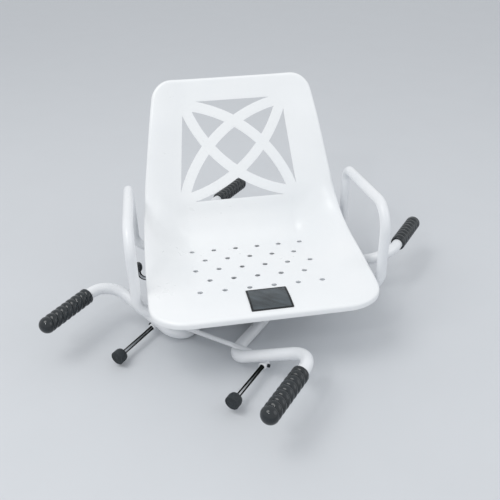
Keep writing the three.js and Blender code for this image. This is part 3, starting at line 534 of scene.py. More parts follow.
# Each finish has the name of its slot, the name of its colour in the settings, the tint that makes its own
# colour from it, and the tints of its clean, shaded and specked places. The pattern's values follow, and then
# the shader's.
FINISHES = {
    # Fine orange peel, a few scuffs
    "White Coat": ("white_coat", "coat", (1,), (1,), (0.95, -0.01), (0.72,), dict(
        drift=7, specks=0.05, smooth=0.27, rough=0.33, grain=1500, waviness=0.1, bump=0.008),
        {"Coat Weight": 0.12, "Coat Roughness": 0.2}),
    # Almost flawless, with soft flow marks and a faint haze
    "Moulded White": ("white_shell", "moulding", (1,), (1,), (0.972, -0.008), (0.80,), dict(
        drift=4.5, specks=0.04, smooth=0.26, rough=0.40, smudge=9, grain=1100, waviness=0.5, bump=0.014,
        bump_depth=0.0003), {"Coat Weight": 0.18, "Coat Roughness": 0.22}),
    # Dust in the pores
    "Grip Rubber": ("black_rubber", "rubber", (1,), (1,), (1.5, -0.03), (3.2,), dict(
        drift=22, specks=0.25, smooth=0.07, rough=0.15, smudge=55, grain=4200, bump=0.05, bump_depth=0.0003,
        extra=glossy_ends), {"Specular IOR Level": 0.48}),
    # The knob and the plugs
    "Hard Black": ("black_rubber", "rubber", (1,), (1,), (1.3,), (4.0,), dict(
        drift=30, specks=0.2, smooth=0.18, rough=0.34, grain=3500, bump=0.10), {"Coat Weight": 0.2}),
    "Pad Rubber": ("black_rubber", "rubber", (1,), (1,), (1.9,), (6.0,), dict(
        drift=40, specks=0.4, smooth=0.5, rough=0.75, grain=3800, waviness=0.5, bump=0.3,
        bump_depth=0.0003), {}),
    # Faint water marks, and a painted dark reflection towards the edges
    "Chrome": ("chrome", "chrome", (1,), (1,), (0.93,), (0.6,), dict(
        drift=30, specks=0.12, smooth=0.05, rough=0.16, smudge=40, grain=2600, bump=0.03, bump_depth=0.0001,
        extra=painted_edge_reflection), {"Metallic": 1.0}),
    # Slightly yellowed and matt
    "Zinc": ("steel", "zinc", (1,), (1,), (0.86, 0.03), (0.5,), dict(
        drift=45, specks=0.3, smooth=0.26, rough=0.48, smudge=60, grain=2200, bump=0.18, stretch=(1, 1, 3)),
        {"Metallic": 1.0}),
    "Black Oxide": ("dark_screw", "rubber", (1.1,), (1,), (1.6,), (5.0,), dict(
        drift=60, specks=0.3, smooth=0.28, rough=0.5, grain=2600, bump=0.15), {"Metallic": 0.7}),
    "Natural Nylon": ("nylon", "moulding", (0.86, 0.02), (1,), (0.93,), (0.6,), dict(
        drift=25, specks=0.1, smooth=0.4, rough=0.6, grain=1400, bump=0.12), {}),
    # Dark film with pale streaks of wear along it
    "Blank Plate": ("label_grey", "label", (1,), (0.85,), (2.6, -0.02), (6.0,), dict(
        drift=34, specks=0.6, smooth=0.26, rough=0.50, smudge=60, grain=1600, waviness=0.8, bump=0.14,
        bump_depth=0.0003, stretch=(0.7, 2.6, 1)), {}),
    "Plate Border": ("label_grey", "label", (0.28,), (1,), (1.4,), (3.0,), dict(
        drift=40, specks=0.15, smooth=0.34, rough=0.46, grain=1800, bump=0.1), {"Specular IOR Level": 0.25}),
}


def patterned(tree, shader, clean, shaded, speck, drift, specks, smooth, rough, grain, bump, smudge=18.0,
              waviness=0.3, bump_depth=0.0002, stretch=(1, 1, 1), extra=None):
    """Gives a material its pattern: colour, roughness and surface that all change over the piece."""
    place_on_piece = tree.nodes.new("ShaderNodeTexCoord").outputs["Object"]
    vector = shader_node(tree, "Mapping", Vector=place_on_piece, Scale=stretch).outputs["Vector"]

    def use(name, **values):
        node = tree.nodes.new("ShaderNodeGroup")
        node.node_tree = bpy.data.node_groups.get(name) or GROUP_MAKERS[name]()
        for label, value in dict(values, Vector=vector).items():
            feed(tree, node.inputs[label], value)
        return node.outputs[0]

    feed(tree, shader.inputs["Base Color"], use("Colour Drift", Clean=clean, Shaded=shaded, Speck=speck,
                                                Scale=drift, Specks=specks))
    feed(tree, shader.inputs["Roughness"], use("Smudges", Scale=smudge, Smooth=smooth, Rough=rough))
    relief = shader_node(tree, "Bump", Strength=bump, Distance=bump_depth,
                         Height=use("Surface Grain", Scale=grain, Waviness=waviness))
    feed(tree, shader.inputs["Normal"], relief.outputs["Normal"])
    if extra:
        extra(tree, shader, place_on_piece)


def new_material(name):
    """An empty material with its shader."""
    material = bpy.data.materials.new(name)
    material.use_nodes = True
    return material, material.node_tree, material.node_tree.nodes["Principled BSDF"]


def finish(name):
    """A finish by its name, made the first time that it is asked for."""
    if name in bpy.data.materials:
        return bpy.data.materials[name]
    _, setting, own, clean, shaded, speck, pattern, values = FINISHES[name]
    base = tinted(getattr(bpy.context.scene.bath_seat.colours, setting), *own)
    material, tree, shader = new_material(name)
    material.diffuse_color = opaque(tinted(base, *clean))
    patterned(tree, shader, *(opaque(tinted(base, *tint)) for tint in (clean, shaded, speck)), **pattern)
    for label, value in {"Coat Roughness": 0.08, **values}.items():
        shader.inputs[label].default_value = value
    return material


# The moulded seat's surface

# Each station pairs a place on the centre line with the place on the edge beside it, as shares of the front
# reach, the half width and the back height.
CENTRE_SHARES = [
    (1, 0.142), (0.829, 0.1413), (0.556, 0.1186), (0.185, 0.0883), (-0.139, 0.0622), (-0.344, 0.052),
    (-0.477, 0.09), (-0.561, 0.182), (-0.606, 0.3), (-0.693, 0.459), (-0.778, 0.612), (-0.861, 0.765),
    (-0.926, 0.878), (-0.988, 0.99),
]
EDGE_SHARES = [
    (1, 0.972, 0.142), (0.829, 0.992, 0.147), (0.532, 1.0, 0.158), (0.205, 1.003, 0.17), (-0.07, 1, 0.184),
    (-0.276, 0.992, 0.22), (-0.407, 0.979, 0.272), (-0.5, 0.96, 0.34), (-0.574, 0.939, 0.422),
    (-0.638, 0.908, 0.526), (-0.704, 0.874, 0.642), (-0.787, 0.834, 0.774), (-0.871, 0.797, 0.884),
    (-0.949, 0.751, 1),
]
FLAT_SHARE = 0.56


class SoftCurve:
    """A centripetal curve through places."""

    def __init__(self, places):
        self.places = [Vector(where) for where in places]

    def at(self, share):
        places = self.places
        last = len(places) - 1
        spot = share * last
        k = min(int(spot), last - 1)
        weight = spot - k
        p1, p2 = places[k], places[k + 1]
        p0 = places[k - 1] if k > 0 else p1 * 2 - p2
        p3 = places[k + 2] if k + 2 <= last else p2 * 2 - p1
        d0, d1, d2 = (math.sqrt((b - a).length) for a, b in ((p0, p1), (p1, p2), (p2, p3)))
        leave = ((p1 - p0) / d0 - (p2 - p0) / (d0 + d1) + (p2 - p1) / d1) * d1
        arrive = ((p2 - p1) / d1 - (p3 - p1) / (d1 + d2) + (p3 - p2) / d2) * d1
        square = weight * weight
        cube = square * weight
        return (p1 + leave * weight + (p2 * 3 - p1 * 3 - leave * 2 - arrive) * square
                + (p1 * 2 - p2 * 2 + leave + arrive) * cube)


class SeatSurface:
    """The moulding's upper surface, square to the frame."""

    def __init__(self, moulding):
        half, front, top = moulding.width / 2, moulding.front, moulding.height
        self.centre = SoftCurve([(0, -reach * front, GRIP_AXIS + height * top)
                                 for reach, height in CENTRE_SHARES])
        self.edge = SoftCurve([(width * half, -reach * front, GRIP_AXIS + height * top)
                               for reach, width, height in EDGE_SHARES])

    def point(self, along, x):
        centre, edge = self.centre.at(along), self.edge.at(along)
        share = min(1.0, max(0.0, (abs(x) / edge.x - FLAT_SHARE) / (1 - FLAT_SHARE)))
        rise = share * share * (3 - 2 * share)
        return Vector((x, centre.y + (edge.y - centre.y) * rise, centre.z + (edge.z - centre.z) * rise))

    def normal(self, along, x):
        share_step, side_step = 0.002, 0.0008
        low, high = max(0.0, along - share_step), min(1.0, along + share_step)
        lengthwise = self.point(high, x) - self.point(low, x)
        crosswise = self.point(along, x + side_step) - self.point(along, x - side_step)
        return crosswise.cross(lengthwise).normalized()

    def along_at(self, reach):
        low, high, halvings = 0.0, 0.45, 30
        for _ in range(halvings):
            middle = (low + high) / 2
            if -self.centre.at(middle).y > reach:
                low = middle
            else:
                high = middle
        return low


def corner_inset(distance, radius):
    """How far a round corner takes the edge in, at a distance from the end."""
    left = max(0.0, radius - distance)
    return radius - math.sqrt(radius * radius - left * left)


def seat_rows(surface, front_radius, top_radius, corner_steps=12, body_steps=64):
    """Places along the seat, closer together at the rounded corners, each with its inset."""
    sample = 0.1
    front_span = sample * front_radius / (surface.edge.at(0) - surface.edge.at(sample)).length
    top_span = sample * top_radius / (surface.edge.at(1) - surface.edge.at(1 - sample)).length
    shares = [1 - math.cos(math.pi * k / (2 * corner_steps)) for k in range(corner_steps)]
    rows = [(share * front_span, corner_inset(share * front_radius, front_radius)) for share in shares]
    for k in range(body_steps + 1):
        rows.append((front_span + (1 - front_span - top_span) * k / body_steps, 0.0))
    rows += [(1 - share * top_span, corner_inset(share * top_radius, top_radius))
             for share in reversed(shares)]
    return rows


def border_of(rows, columns):
    """The grid's border in order, as (row, column), turning from +X at the front to the back."""
    loop = [(0, c) for c in range(columns)]
    loop += [(r, columns - 1) for r in range(1, rows)]
    loop += [(rows - 1, c) for c in range(columns - 2, -1, -1)]
    loop += [(r, 0) for r in range(rows - 2, 0, -1)]
    return loop


def seat_skin(moulding, columns=61):
    """The moulding's outer skin: a grid laid on the surface, and its border drawn out and down as the lip."""
    surface = SeatSurface(moulding)
    front_radius, top_radius = 0.058, 0.030
    rows = seat_rows(surface, front_radius, top_radius)
    count = len(rows)
    piece = added("seat_shell_moulded", bpy.ops.mesh.primitive_grid_add, x_subdivisions=columns - 1,
                  y_subdivisions=count - 1, size=2)
    laid = {}
    normals = {}
    for vertex in piece.data.vertices:
        column = round((vertex.co.x + 1) / 2 * (columns - 1))
        row = round((vertex.co.y + 1) / 2 * (count - 1))
        along, inset = rows[row]
        x = (2 * column / (columns - 1) - 1) * (surface.edge.at(along).x - inset)
        vertex.co = surface.point(along, x)
        laid[row, column] = vertex.co.copy()
        normals[row, column] = surface.normal(along, x)
    loop = border_of(count, columns)
    spots = [laid[where] for where in loop]
    outwards = []
    for k, where in enumerate(loop):
        heading = spots[(k + 1) % len(spots)] - spots[k - 1]
        outwards.append(heading.cross(normals[where]).normalized())
    reach, height, steps, flatness = moulding.lip_reach, moulding.lip_height, 6, 0.9
    rounded = reach * flatness
    rings = [(reach * math.sin(turn), rounded * (1 - math.cos(turn)))
             for turn in (QUARTER_TURN * k / steps for k in range(1, steps + 1))]
    rings += [(reach, rounded + (height - rounded) * 0.5), (reach, height)]
    edit(piece, "EDGE")
    bpy.ops.mesh.select_non_manifold(extend=False, use_wire=False, use_boundary=True, use_multi_face=False,
                                     use_non_contiguous=False, use_verts=False)
    bpy.ops.mesh.select_mode(type="VERT")
    here = spots
    for out, down in rings:
        extrude((0, 0, 0))
        bpy.ops.object.mode_set(mode="OBJECT")
        order = {tuple(round(value, 6) for value in spot): k for k, spot in enumerate(here)}
        here = [spots[k] + outwards[k] * out - normals[where] * down for k, where in enumerate(loop)]
        for vertex in piece.data.vertices:
            if vertex.select:
                vertex.co = here[order[tuple(round(value, 6) for value in vertex.co)]]
        bpy.ops.object.mode_set(mode="EDIT")
    tidy(1e-7)
    return piece, surface


# Two of the lattice's four arcs, flat in the window: centre, radius and the angles that they run between. The
# other two mirror them.
LATTICE_ARCS = (((-0.1443, -0.0698), 0.2717, 10, 88), ((0.1679, 0.2834), 0.2821, 190, 266))


def window_tool(band):
    """The openings of the window, flat, with the lattice's four curved bands left standing."""
    height, top, bottom, depth, corner, steps = 0.204, 0.204, 0.250, 0.040, 0.014, 60
    tool = block("window_tool", (0, height / 2, 0), (bottom, height, depth))
    pick(tool, "VERT", lambda vertex: vertex.co.y > height / 2)
    bpy.ops.transform.resize(value=(top / bottom, 1, 1))
    pick(tool, "EDGE", lambda edge: all(tool.data.vertices[v].co.y < height / 2 for v in edge.vertices)
         and rise_of(tool, edge) > depth / 2)
    bpy.ops.mesh.bevel(offset=corner, segments=5, affect="EDGES")
    tidy()
    for (across, up), radius, start, end in LATTICE_ARCS:
        inner, outer = radius - band / 2, radius + band / 2
        outline = [(inner, -depth), (outer, -depth), (outer, depth), (inner, depth), (inner, -depth)]
        for side, first in ((1, start), (-1, 180 - end)):
            bar = spun("band", outline, steps, math.radians(end - start))
            turn = Matrix.Rotation(math.radians(first), 4, "Z")
            carve(tool, place(bar, Matrix.Translation((side * across, up, 0)) @ turn))
    return tool


def ease_upright_edges(tool, radius, limit=25):
    """Rounds the sharp edges of a flat tool that run along Z."""
    mesh = tool.data
    faces = {}
    for polygon in mesh.polygons:
        for key in polygon.edge_keys:
            faces.setdefault(key, []).append(polygon.normal)

    def sharp(edge):
        a, b = (mesh.vertices[v].co for v in edge.vertices)
        beside = faces[tuple(sorted(edge.vertices))]
        upright = (a - b).xy.length < 1e-5
        return upright and len(beside) == 2 and beside[0].angle(beside[1]) > math.radians(limit)

    pick(tool, "EDGE", sharp)
    bpy.ops.mesh.bevel(offset=radius, segments=4, affect="EDGES", clamp_overlap=True)
    tidy()


def drain_tools(surface, diameter):
    """One pin for each drain hole, square to the surface and wider below, as a moulded hole is."""
    pitch, rows, centre, long_row = 0.0452, 5, 0.0335, 6
    top, foot, reach, wall, neck = diameter * 0.54, diameter * 0.86, 0.012, 0.006, 0.0012
    outline = [(0, -reach), (foot, -reach), (foot, -wall), (top, -neck), (top, reach), (0, reach)]
    model = spun("drain_tool", outline, 28)
    tools = []
    for row in range(rows):
        in_row = long_row - row % 2
        along = surface.along_at(centre + (row - (rows - 1) / 2) * pitch)
        for k in range(in_row):
            x = (k - (in_row - 1) / 2) * pitch
            tool = copy_of(model, "drain_tool")
            tools.append(place(tool, towards(surface.point(along, x), surface.normal(along, x))))
    bpy.data.objects.remove(model, do_unlink=True)
    return joined(tools)


# The pieces

class SeatShell(Operator):
    """Moulds the seat with its lip, its window and its drain holes."""
    bl_idname = "bath_seat.seat_shell"
    bl_label = "Moulded seat"

    def execute(self, context):
        moulding = context.scene.bath_seat.moulding
        piece, surface = seat_skin(moulding)
        modify(piece, "SOLIDIFY", thickness=moulding.thickness, offset=-1, use_even_offset=True,
               use_quality_normals=True)
        bore, outer, foot, edge = 0.0027, 0.009, 0.012, 0.0008
        for x, y in ((0.067, -0.0806), (-0.067, -0.0806), (0.0446, 0.0525), (-0.0446, 0.0525)):
            top = surface.point(surface.along_at(-y), x).z - moulding.thickness / 2
            outline = [(bore, foot), (outer, foot), (outer, top), (bore, top), (bore, foot)]
            boss = spun("boss", softened(outline, edge), 40)
            carve(piece, place(boss, Matrix.Translation((x, y, 0))), "UNION")
        window_foot, upright, lean, lattice_edge, merge = (0, 0.130, GRIP_AXIS + 0.0948), 90, 20, 0.004, 2e-5
        tool = window_tool(moulding.band)
        ease_upright_edges(tool, lattice_edge)
        turn = Matrix.Rotation(math.radians(upright - lean), 4, "X")
        carve(piece, place(tool, Matrix.Translation(window_foot) @ turn))
        carve(piece, drain_tools(surface, moulding.hole_diameter))
        edit(piece)
        tidy(merge)
        modify(piece, "BEVEL", width=moulding.edge_round, segments=3, limit_method="ANGLE",
               angle_limit=math.radians(42), miter_outer="MITER_ARC")
        dress(place(piece, SEAT_TURN), "turning_seat", "Moulded White", "seat_shell")
        return {"FINISHED"}


class LabelPlate(Operator):
    """Lays the blank plate on the seat, with its darker border."""
    bl_idname = "bath_seat.label_plate"
    bl_label = "Blank plate"

    def execute(self, context):
        surface = SeatSurface(context.scene.bath_seat.moulding)
        steps, corner, lift, thickness = 60, 0.0018, 0.0002, 0.0009
        width, reach, centre, offset, border_from = 0.074, 0.071, 0.173, 0.004, 0.925
        piece = added("label_plate_blank", bpy.ops.mesh.primitive_grid_add, x_subdivisions=steps,
                      y_subdivisions=steps, size=1)
        shares = []
        for vertex in piece.data.vertices:
            u, v = vertex.co.x * width, vertex.co.y * reach
            over = Vector((max(0.0, abs(u) - width / 2 + corner), max(0.0, abs(v) - reach / 2 + corner)))
            if over.x > 0 and over.y > 0:
                pull = max(over.x, over.y) / over.length
                u = math.copysign(width / 2 - corner + over.x * pull, u)
                v = math.copysign(reach / 2 - corner + over.y * pull, v)
            shares.append(max(abs(u) / (width / 2), abs(v) / (reach / 2)))
            along = surface.along_at(centre - v)
            normal = surface.normal(along, offset + u)
            vertex.co = surface.point(along, offset + u) + normal * (lift + thickness)
        for look in ("Blank Plate", "Plate Border"):
            piece.data.materials.append(finish(look))
        for polygon in piece.data.polygons:
            polygon.material_index = int(max(shares[v] for v in polygon.vertices) > border_from)
        modify(piece, "SOLIDIFY", thickness=thickness, offset=-1)
        dress(place(piece, SEAT_TURN), "turning_seat", "Blank Plate", "label_plate", angle=50)
        return {"FINISHED"}


class Armrests(Operator):
    """Bends the two armrest tubes."""
    bl_idname = "bath_seat.armrests"
    bl_label = "Armrests"

    def execute(self, context):
        tubes = context.scene.bath_seat.tubes
        front, rear, run = -0.122, 0.119, GRIP_AXIS + 0.006
        front_top, rear_top, bends = GRIP_AXIS + 0.173, GRIP_AXIS + 0.148, (0.032, 0.045, 0.030, 0.032)
        for name, side in (("left", 1), ("right", -1)):
            x, inner = side * 0.227, side * 0.018
            corners = [(inner, front, run), (x, front, run), (x, front, front_top), (x, rear, rear_top),
                       (x, rear, run), (inner, rear, run)]
            tube = bent_tube(f"armrest_{name}_tube", corners, bends, tubes.arm_diameter, tubes)
            dress(place(tube, SEAT_TURN), "turning_seat", "White Coat", f"armrest_{name}")
        return {"FINISHED"}


def side_tube(name, side, tubes, more=0.0):
    """A side tube from grip to grip, or with more diameter the tool that cuts a seat for it."""
    x, foot, end, bend, foot_end = side * SIDE_TUBE_SPAN, side * 0.054, 0.343, 0.172, 0.178
    corners = [(x, -end, GRIP_AXIS), (x, -bend, GRIP_AXIS), (foot, -foot_end, SIDE_TUBE_LOW),
               (foot, foot_end, SIDE_TUBE_LOW), (x, bend, GRIP_AXIS), (x, end, GRIP_AXIS)]
    return bent_tube(name, corners, (0.049, 0.038, 0.038, 0.049), tubes.side_diameter + more, tubes)


class SideTubes(Operator):
    """Bends the two side tubes of the base and lays the cross bars over them."""
    bl_idname = "bath_seat.side_tubes"
    bl_label = "Side tubes and cross bars"

    def execute(self, context):
        tubes, seat_clearance = context.scene.bath_seat.tubes, 0.0004
        for name, side in SIDES.items():
            dress(side_tube(f"side_tube_{name}_bent", side, tubes), "base", "White Coat", f"side_tube_{name}")
        for name, end in ENDS.items():
            bar = self.cross_bar(name, end, tubes.bar_diameter)
            for side in SIDES.values():
                carve(bar, side_tube("seat_tool", side, tubes, seat_clearance))
            dress(bar, "base", "White Coat", f"cross_bar_{name}")
        return {"FINISHED"}

    def cross_bar(self, name, end, diameter):
        """A round bar whose ends are pressed flat."""
        half, tab, width, thin, press, rim = 0.089, 0.040, 0.013, 0.004, 0.005, 0.002
        tube_radius, clear, offset, rim_width, rim_height = 0.011, 0.0003, 0.159, 0.86, 0.8
        bar = added(f"cross_bar_{name}_pressed", bpy.ops.mesh.primitive_circle_add, vertices=32,
                    radius=diameter / 2, fill_type="NOTHING")
        place(bar, Matrix.Rotation(QUARTER_TURN, 4, "Y"))
        for way in (1, -1):
            pick(bar, "VERT", lambda vertex: abs(vertex.co.x) < 1e-6)
            extrude((way * (half - tab), 0, 0))
            for step in (1, 2):
                extrude((way * press, 0, 0))
                bpy.ops.transform.resize(value=(1, (width / diameter) ** 0.5, (thin / diameter) ** 0.5),
                                         center_override=(way * (half - tab + press * step), 0, 0))
            extrude((way * (tab - 2 * press - rim), 0, 0))
            extrude((way * rim, 0, 0))
            bpy.ops.transform.resize(value=(1, rim_width, rim_height))
            bpy.ops.mesh.edge_face_add()
        tidy()
        height = SIDE_TUBE_LOW + tube_radius + diameter / 2 + clear
        return place(bar, Matrix.Translation((0, end * offset, height)))


class Grips(Operator):
    """Turns one ribbed grip and copies it to the four ends."""
    bl_idname = "bath_seat.grips"
    bl_label = "Grips"

    def execute(self, context):
        grips = context.scene.bath_seat.grips
        radius, reach, bore, cap = grips.diameter / 2, grips.length, 0.01112, 0.0068
        first, cuff, chamfer, half_width = 0.0022, 0.0030, 0.0010, 0.350
        dome = radius * 0.95
        ribbed = reach - dome
        steps, dome_steps = 180, 18
        outline = [(bore, 0.0), (radius - cuff, 0.0), (radius - chamfer, chamfer)]
        outline += [(radius, first + (ribbed - first) * k / steps) for k in range(steps + 1)]
        outline += [(radius * math.cos(turn) ** 0.9, ribbed + dome * math.sin(turn))
                    for turn in (QUARTER_TURN * k / dome_steps for k in range(1, dome_steps))]
        outline += [(0.0, reach), (0.0, reach - cap), (bore, reach - cap), (bore, 0.0)]
        model = spun("grip", outline, 96)
        self.rib(model, radius, ribbed, grips)
        for where, side, end in CORNERS:
            grip = copy_of(model, f"grip_{where}_ribbed")
            turn = Matrix.Rotation(-end * QUARTER_TURN, 4, "X")
            spot = (side * SIDE_TUBE_SPAN, end * (half_width - reach), GRIP_AXIS)
            place(grip, Matrix.Translation(spot) @ turn)
            dress(grip, "base", "Grip Rubber", f"grip_{where}", angle=60)
        bpy.data.objects.remove(model, do_unlink=True)
        return {"FINISHED"}

    def rib(self, piece, radius, ribbed, grips):
        """Presses sharp leaning valleys between round ribs into the grip."""
        plain_start, fade_in, fade_out, crest, hollow = 0.002, 0.004, 0.003, 1.8, 0.7
        pitch = (ribbed - fade_in) / grips.ribs
        for vertex in piece.data.vertices:
            out = vertex.co.xy.length
            if out < radius * 0.93 or vertex.co.z > ribbed + 0.001:
                continue
            angle = math.atan2(vertex.co.y, vertex.co.x)
            spot = (vertex.co.z - plain_start) / pitch + grips.lean * math.sin(angle)
            off_crest = abs(2 * (spot - math.floor(spot)) - 1)
            valley = 1 - (1 - off_crest ** crest) ** hollow
            fade = min(1.0, max(0.0, (ribbed - vertex.co.z) / fade_out) + 0.25)
            fade *= min(1.0, vertex.co.z / fade_in)
            pressed = out - grips.rib_depth * valley * fade
            vertex.co.x *= pressed / out
            vertex.co.y *= pressed / out
        piece.data.update()


class StopRods(Operator):
    """Makes the stop rods, their collars, clamp screws and pads."""
    bl_idname = "bath_seat.stop_rods"
    bl_label = "Stop rods, collars, clamp screws and pads"

    def execute(self, context):
        diameter = context.scene.bath_seat.tubes.rod_diameter
        for where, side, end in CORNERS:
            low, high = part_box(f"stop_rod_{where}")
            x, z = (low[0] + high[0]) / 2, (low[2] + high[2]) / 2
            inner, tip = sorted((abs(low[1]), abs(high[1])))
            rod = round_bar(f"stop_rod_{where}_turned", (x, end * inner, z), (x, end * tip, z), diameter,
                            0.0008, 48)
            dress(rod, f"stop_{where}", "Chrome", f"stop_rod_{where}")
            self.collar(where, side, x, z)
            self.pad(where, end, x, z, tip)
        return {"FINISHED"}

    def collar(self, where, side, x, z):
        """A short collar with eased ends, and the screw in it."""
        low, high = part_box(f"rod_collar_{where}")
        start, middle = low[1], (low[1] + high[1]) / 2
        bore, outer, hole, reach = 0.00425, 0.007, 0.0045, 0.012
        outline = softened(sleeve(bore, outer, 0, high[1] - start), 0.0012)
        collar = place(spun(f"rod_collar_{where}_turned", outline, 48), towards((x, start, z), (0, 1, 0)))
        drill(collar, (x, middle, z), (x + side * reach, middle, z), hole, 20)
        dress(collar, "base", "White Coat", f"rod_collar_{where}")
        shank, head, key, foot, neck, top = 0.002, 0.00325, 0.0018, 0.0042, 0.0072, 0.0112
        outline = [(0, foot), (shank, foot), (shank, neck), (head, neck), (head, top), (key, top),
                   (key, 0.0090), (0, 0.0086)]
        screw = spun(f"clamp_screw_{where}_turned", softened(outline, 0.0005, 3), 32)
        place(screw, towards((x, middle, z), (side, 0, 0)))
        dress(screw, "base", "Black Oxide", f"clamp_screw_{where}")

    def pad(self, where, end, x, z, tip):
        """A rubber pad with a round edge and two shallow rings in its face."""
        low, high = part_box(f"stop_pad_{where}")
        start, face = sorted((abs(low[1]), abs(high[1])))
        bore, neck, rim, flare, groove = 0.0042, 0.0115, 0.013, 0.0045, 0.0006
        reach, socket = face - start, tip - start + 0.0002
        sunk = reach - groove
        outline = [(bore, 0), (neck, 0), (rim, flare), (rim, reach)]
        for outer, inner in ((0.0102, 0.0086), (0.0058, bore)):
            outline += [(outer, reach), (outer, sunk), (inner, sunk), (inner, reach)]
        outline += [(0, reach), (0, socket), (bore, socket), (bore, 0)]
        pad = spun(f"stop_pad_{where}_turned", softened(outline, 0.0006, 3), 48)
        place(pad, towards((x, end * start, z), (0, end, 0)))
        dress(pad, f"stop_{where}", "Pad Rubber", f"stop_pad_{where}")


class Turntable(Operator):
    """Makes the base plate, the pedestal, the index plate and the turning plate."""
    bl_idname = "bath_seat.turntable"
    bl_label = "Turntable"

    def execute(self, context):
        # Width and length of the plates, and the diameters of what goes through them
        base_size, top_size, post_hole, peg_hole = (0.150, 0.130), (0.170, 0.280), 0.046, 0.011
        index_bore, bearing_bore = 0.0115, 0.0083
        base = self.plate("base_plate_cut", "base_plate", base_size)
        self.bore(base, "base_plate", post_hole, 64)
        dress(base, "base", "White Coat", "base_plate")
        dress(self.pedestal(), "base", "White Coat", "pedestal")
        index = self.ring("index_plate_cut", "index_plate", index_bore, 0.0006, 128)
        peg_x, peg_y = -0.084, 0.022
        circle, first = math.hypot(peg_x, peg_y), math.atan2(peg_y, peg_x)
        for turn in (0, STORED_TURN):
            for k in range(4):
                angle = first + turn + QUARTER_TURN * k
                x, y = circle * math.cos(angle), circle * math.sin(angle)
                self.bore(index, "index_plate", peg_hole, 32, x, y)
        dress(index, "base", "Zinc", "index_plate")
        bearing = self.ring("bearing_ring_turned", "bearing_ring", bearing_bore, 0.0008, 96)
        dress(bearing, "base", "Natural Nylon", "bearing_ring")
        top = self.plate("top_plate_cut", "top_plate", top_size, slotted=True)
        dress(place(top, SEAT_TURN), "turning_seat", "White Coat", "top_plate")
        return {"FINISHED"}

    def bore(self, plate, node, diameter, sides, x=0, y=0):
        """Drills right through a plate along Z."""
        low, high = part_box(node)
        past = 0.002
        drill(plate, (x, y, low[2] - past), (x, y, high[2] + past), diameter, sides)

    def ring(self, name, node, bore, edge, steps):
        """A turned ring with a CAD node's outer radius and heights."""
        low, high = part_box(node)
        outer = max(high[0], -low[0], high[1], -low[1])
        return spun(name, softened(sleeve(bore, outer, low[2], high[2]), edge), steps)

    def plate(self, name, node, size, slotted=False):
        """A flat plate with round corners and eased edges. The slotted one lets peg and bolt through."""
        low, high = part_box(node)
        middle, thickness = (low[2] + high[2]) / 2, high[2] - low[2]
        corner, edge_round, bolt_hole = 0.014, 0.0006, 0.0166
        slot_middle, slot_size = (-0.0615, 0.022), (0.051, 0.0126)
        plate = block(name, (0, 0, middle), (*size, thickness))
        pick(plate, "EDGE", lambda edge: rise_of(plate, edge) > thickness / 2)
        bpy.ops.mesh.bevel(offset=corner, segments=8, affect="EDGES")
        tidy()
        if slotted:
            carve(plate, block("slot", (*slot_middle, middle), (*slot_size, 0.02)))
            self.bore(plate, node, bolt_hole, 48)
        return modify(plate, "BEVEL", width=edge_round, segments=2, limit_method="ANGLE",
                      angle_limit=math.radians(50))

    def pedestal(self):
        """The turned post with a flange at each end."""
        low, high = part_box("pedestal")
        foot, top, flange, wall, seat = low[2], high[2], 0.048, 0.004, 0.007
        bore, post, bolt_hole = 0.023, 0.030, 0.0113
        middle = (foot + top) / 2
        outline = [(bore, middle), (bore, foot), (flange, foot), (flange, foot + wall), (post, foot + wall),
                   (post, top - wall), (flange, top - wall), (flange, top), (bolt_hole, top),
                   (bolt_hole, top - seat), (bore, top - seat), (bore, middle)]
        return spun("pedestal_turned", softened(outline, 0.0012, 4), 96)


class ReleaseLever(Operator):
    """Bends the release lever, with its eye and its peg, and turns its knob."""
    bl_idname = "bath_seat.release_lever"
    bl_label = "Release lever"

    def execute(self, context):
        tubes = context.scene.bath_seat.tubes
        low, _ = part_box("release_lever")
        height, offset, hinge, peg, reach = 0.0036, 0.022, -0.044, -0.084, -0.223
        rise, bend, eye, past, pin_hole, knob_rise = 0.029, 0.016, 0.006, 0.02, 0.0054, 0.020
        corners = [(hinge, offset, height), (reach, offset, height), (reach, offset, height + rise)]
        lever = bent_tube("release_lever_bent", corners, (bend,), tubes.rod_diameter, tubes)
        for name, start, end, diameter, edge, sides in (
                ("eye", (hinge, offset - eye, height), (hinge, offset + eye, height), 0.014, 0.0006, 48),
                ("peg", (peg, offset, low[2]), (peg, offset, height), 0.007, 0.0005, 32)):
            carve(lever, round_bar(name, start, end, diameter, edge, sides), "UNION")
        drill(lever, (hinge, offset - past, height), (hinge, offset + past, height), pin_hole, 32)
        dress(place(lever, SEAT_TURN), "lever", "Chrome", "release_lever")
        radius, tall, bore, depth = 0.00825, 0.0195, 0.0042, 0.0092
        outline = [(bore, 0.0), (radius * 0.62, 0.0), (radius * 0.90, 0.0036), (radius, 0.0088),
                   (radius * 0.92, 0.0138), (radius * 0.62, 0.0182), (0.0, tall), (0.0, depth), (bore, depth),
                   (bore, 0.0)]
        knob = spun("lever_knob_turned", softened(outline, 0.0022, 5), 64)
        place(knob, SEAT_TURN @ Matrix.Translation((reach, offset, height + knob_rise)))
        dress(knob, "lever", "Hard Black", "lever_knob", angle=50)
        return {"FINISHED"}


class CoveredPieces(Operator):
    """Gives the small and covered pieces their finishes, as they are."""
    bl_idname = "bath_seat.covered_pieces"
    bl_label = "Bolts, bearings and plugs"

    def execute(self, context):
        kinds = {"Zinc": ("index_screw", "pivot_bolt", "pivot_washer", "pivot_nut", "armrest_bolt",
                          "seat_screw", "hinge_pin", "lever_spring"),
                 "Natural Nylon": "pivot_bush", "Hard Black": "tube_plug", "White Coat": "hinge_bracket"}
        for look, starts in kinds.items():
            for name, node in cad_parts.items():
                if name.startswith(starts):
                    for slot in node.material_slots:
                        slot.link = "OBJECT"
                        slot.material = finish(look)
        return {"FINISHED"}


# The studio

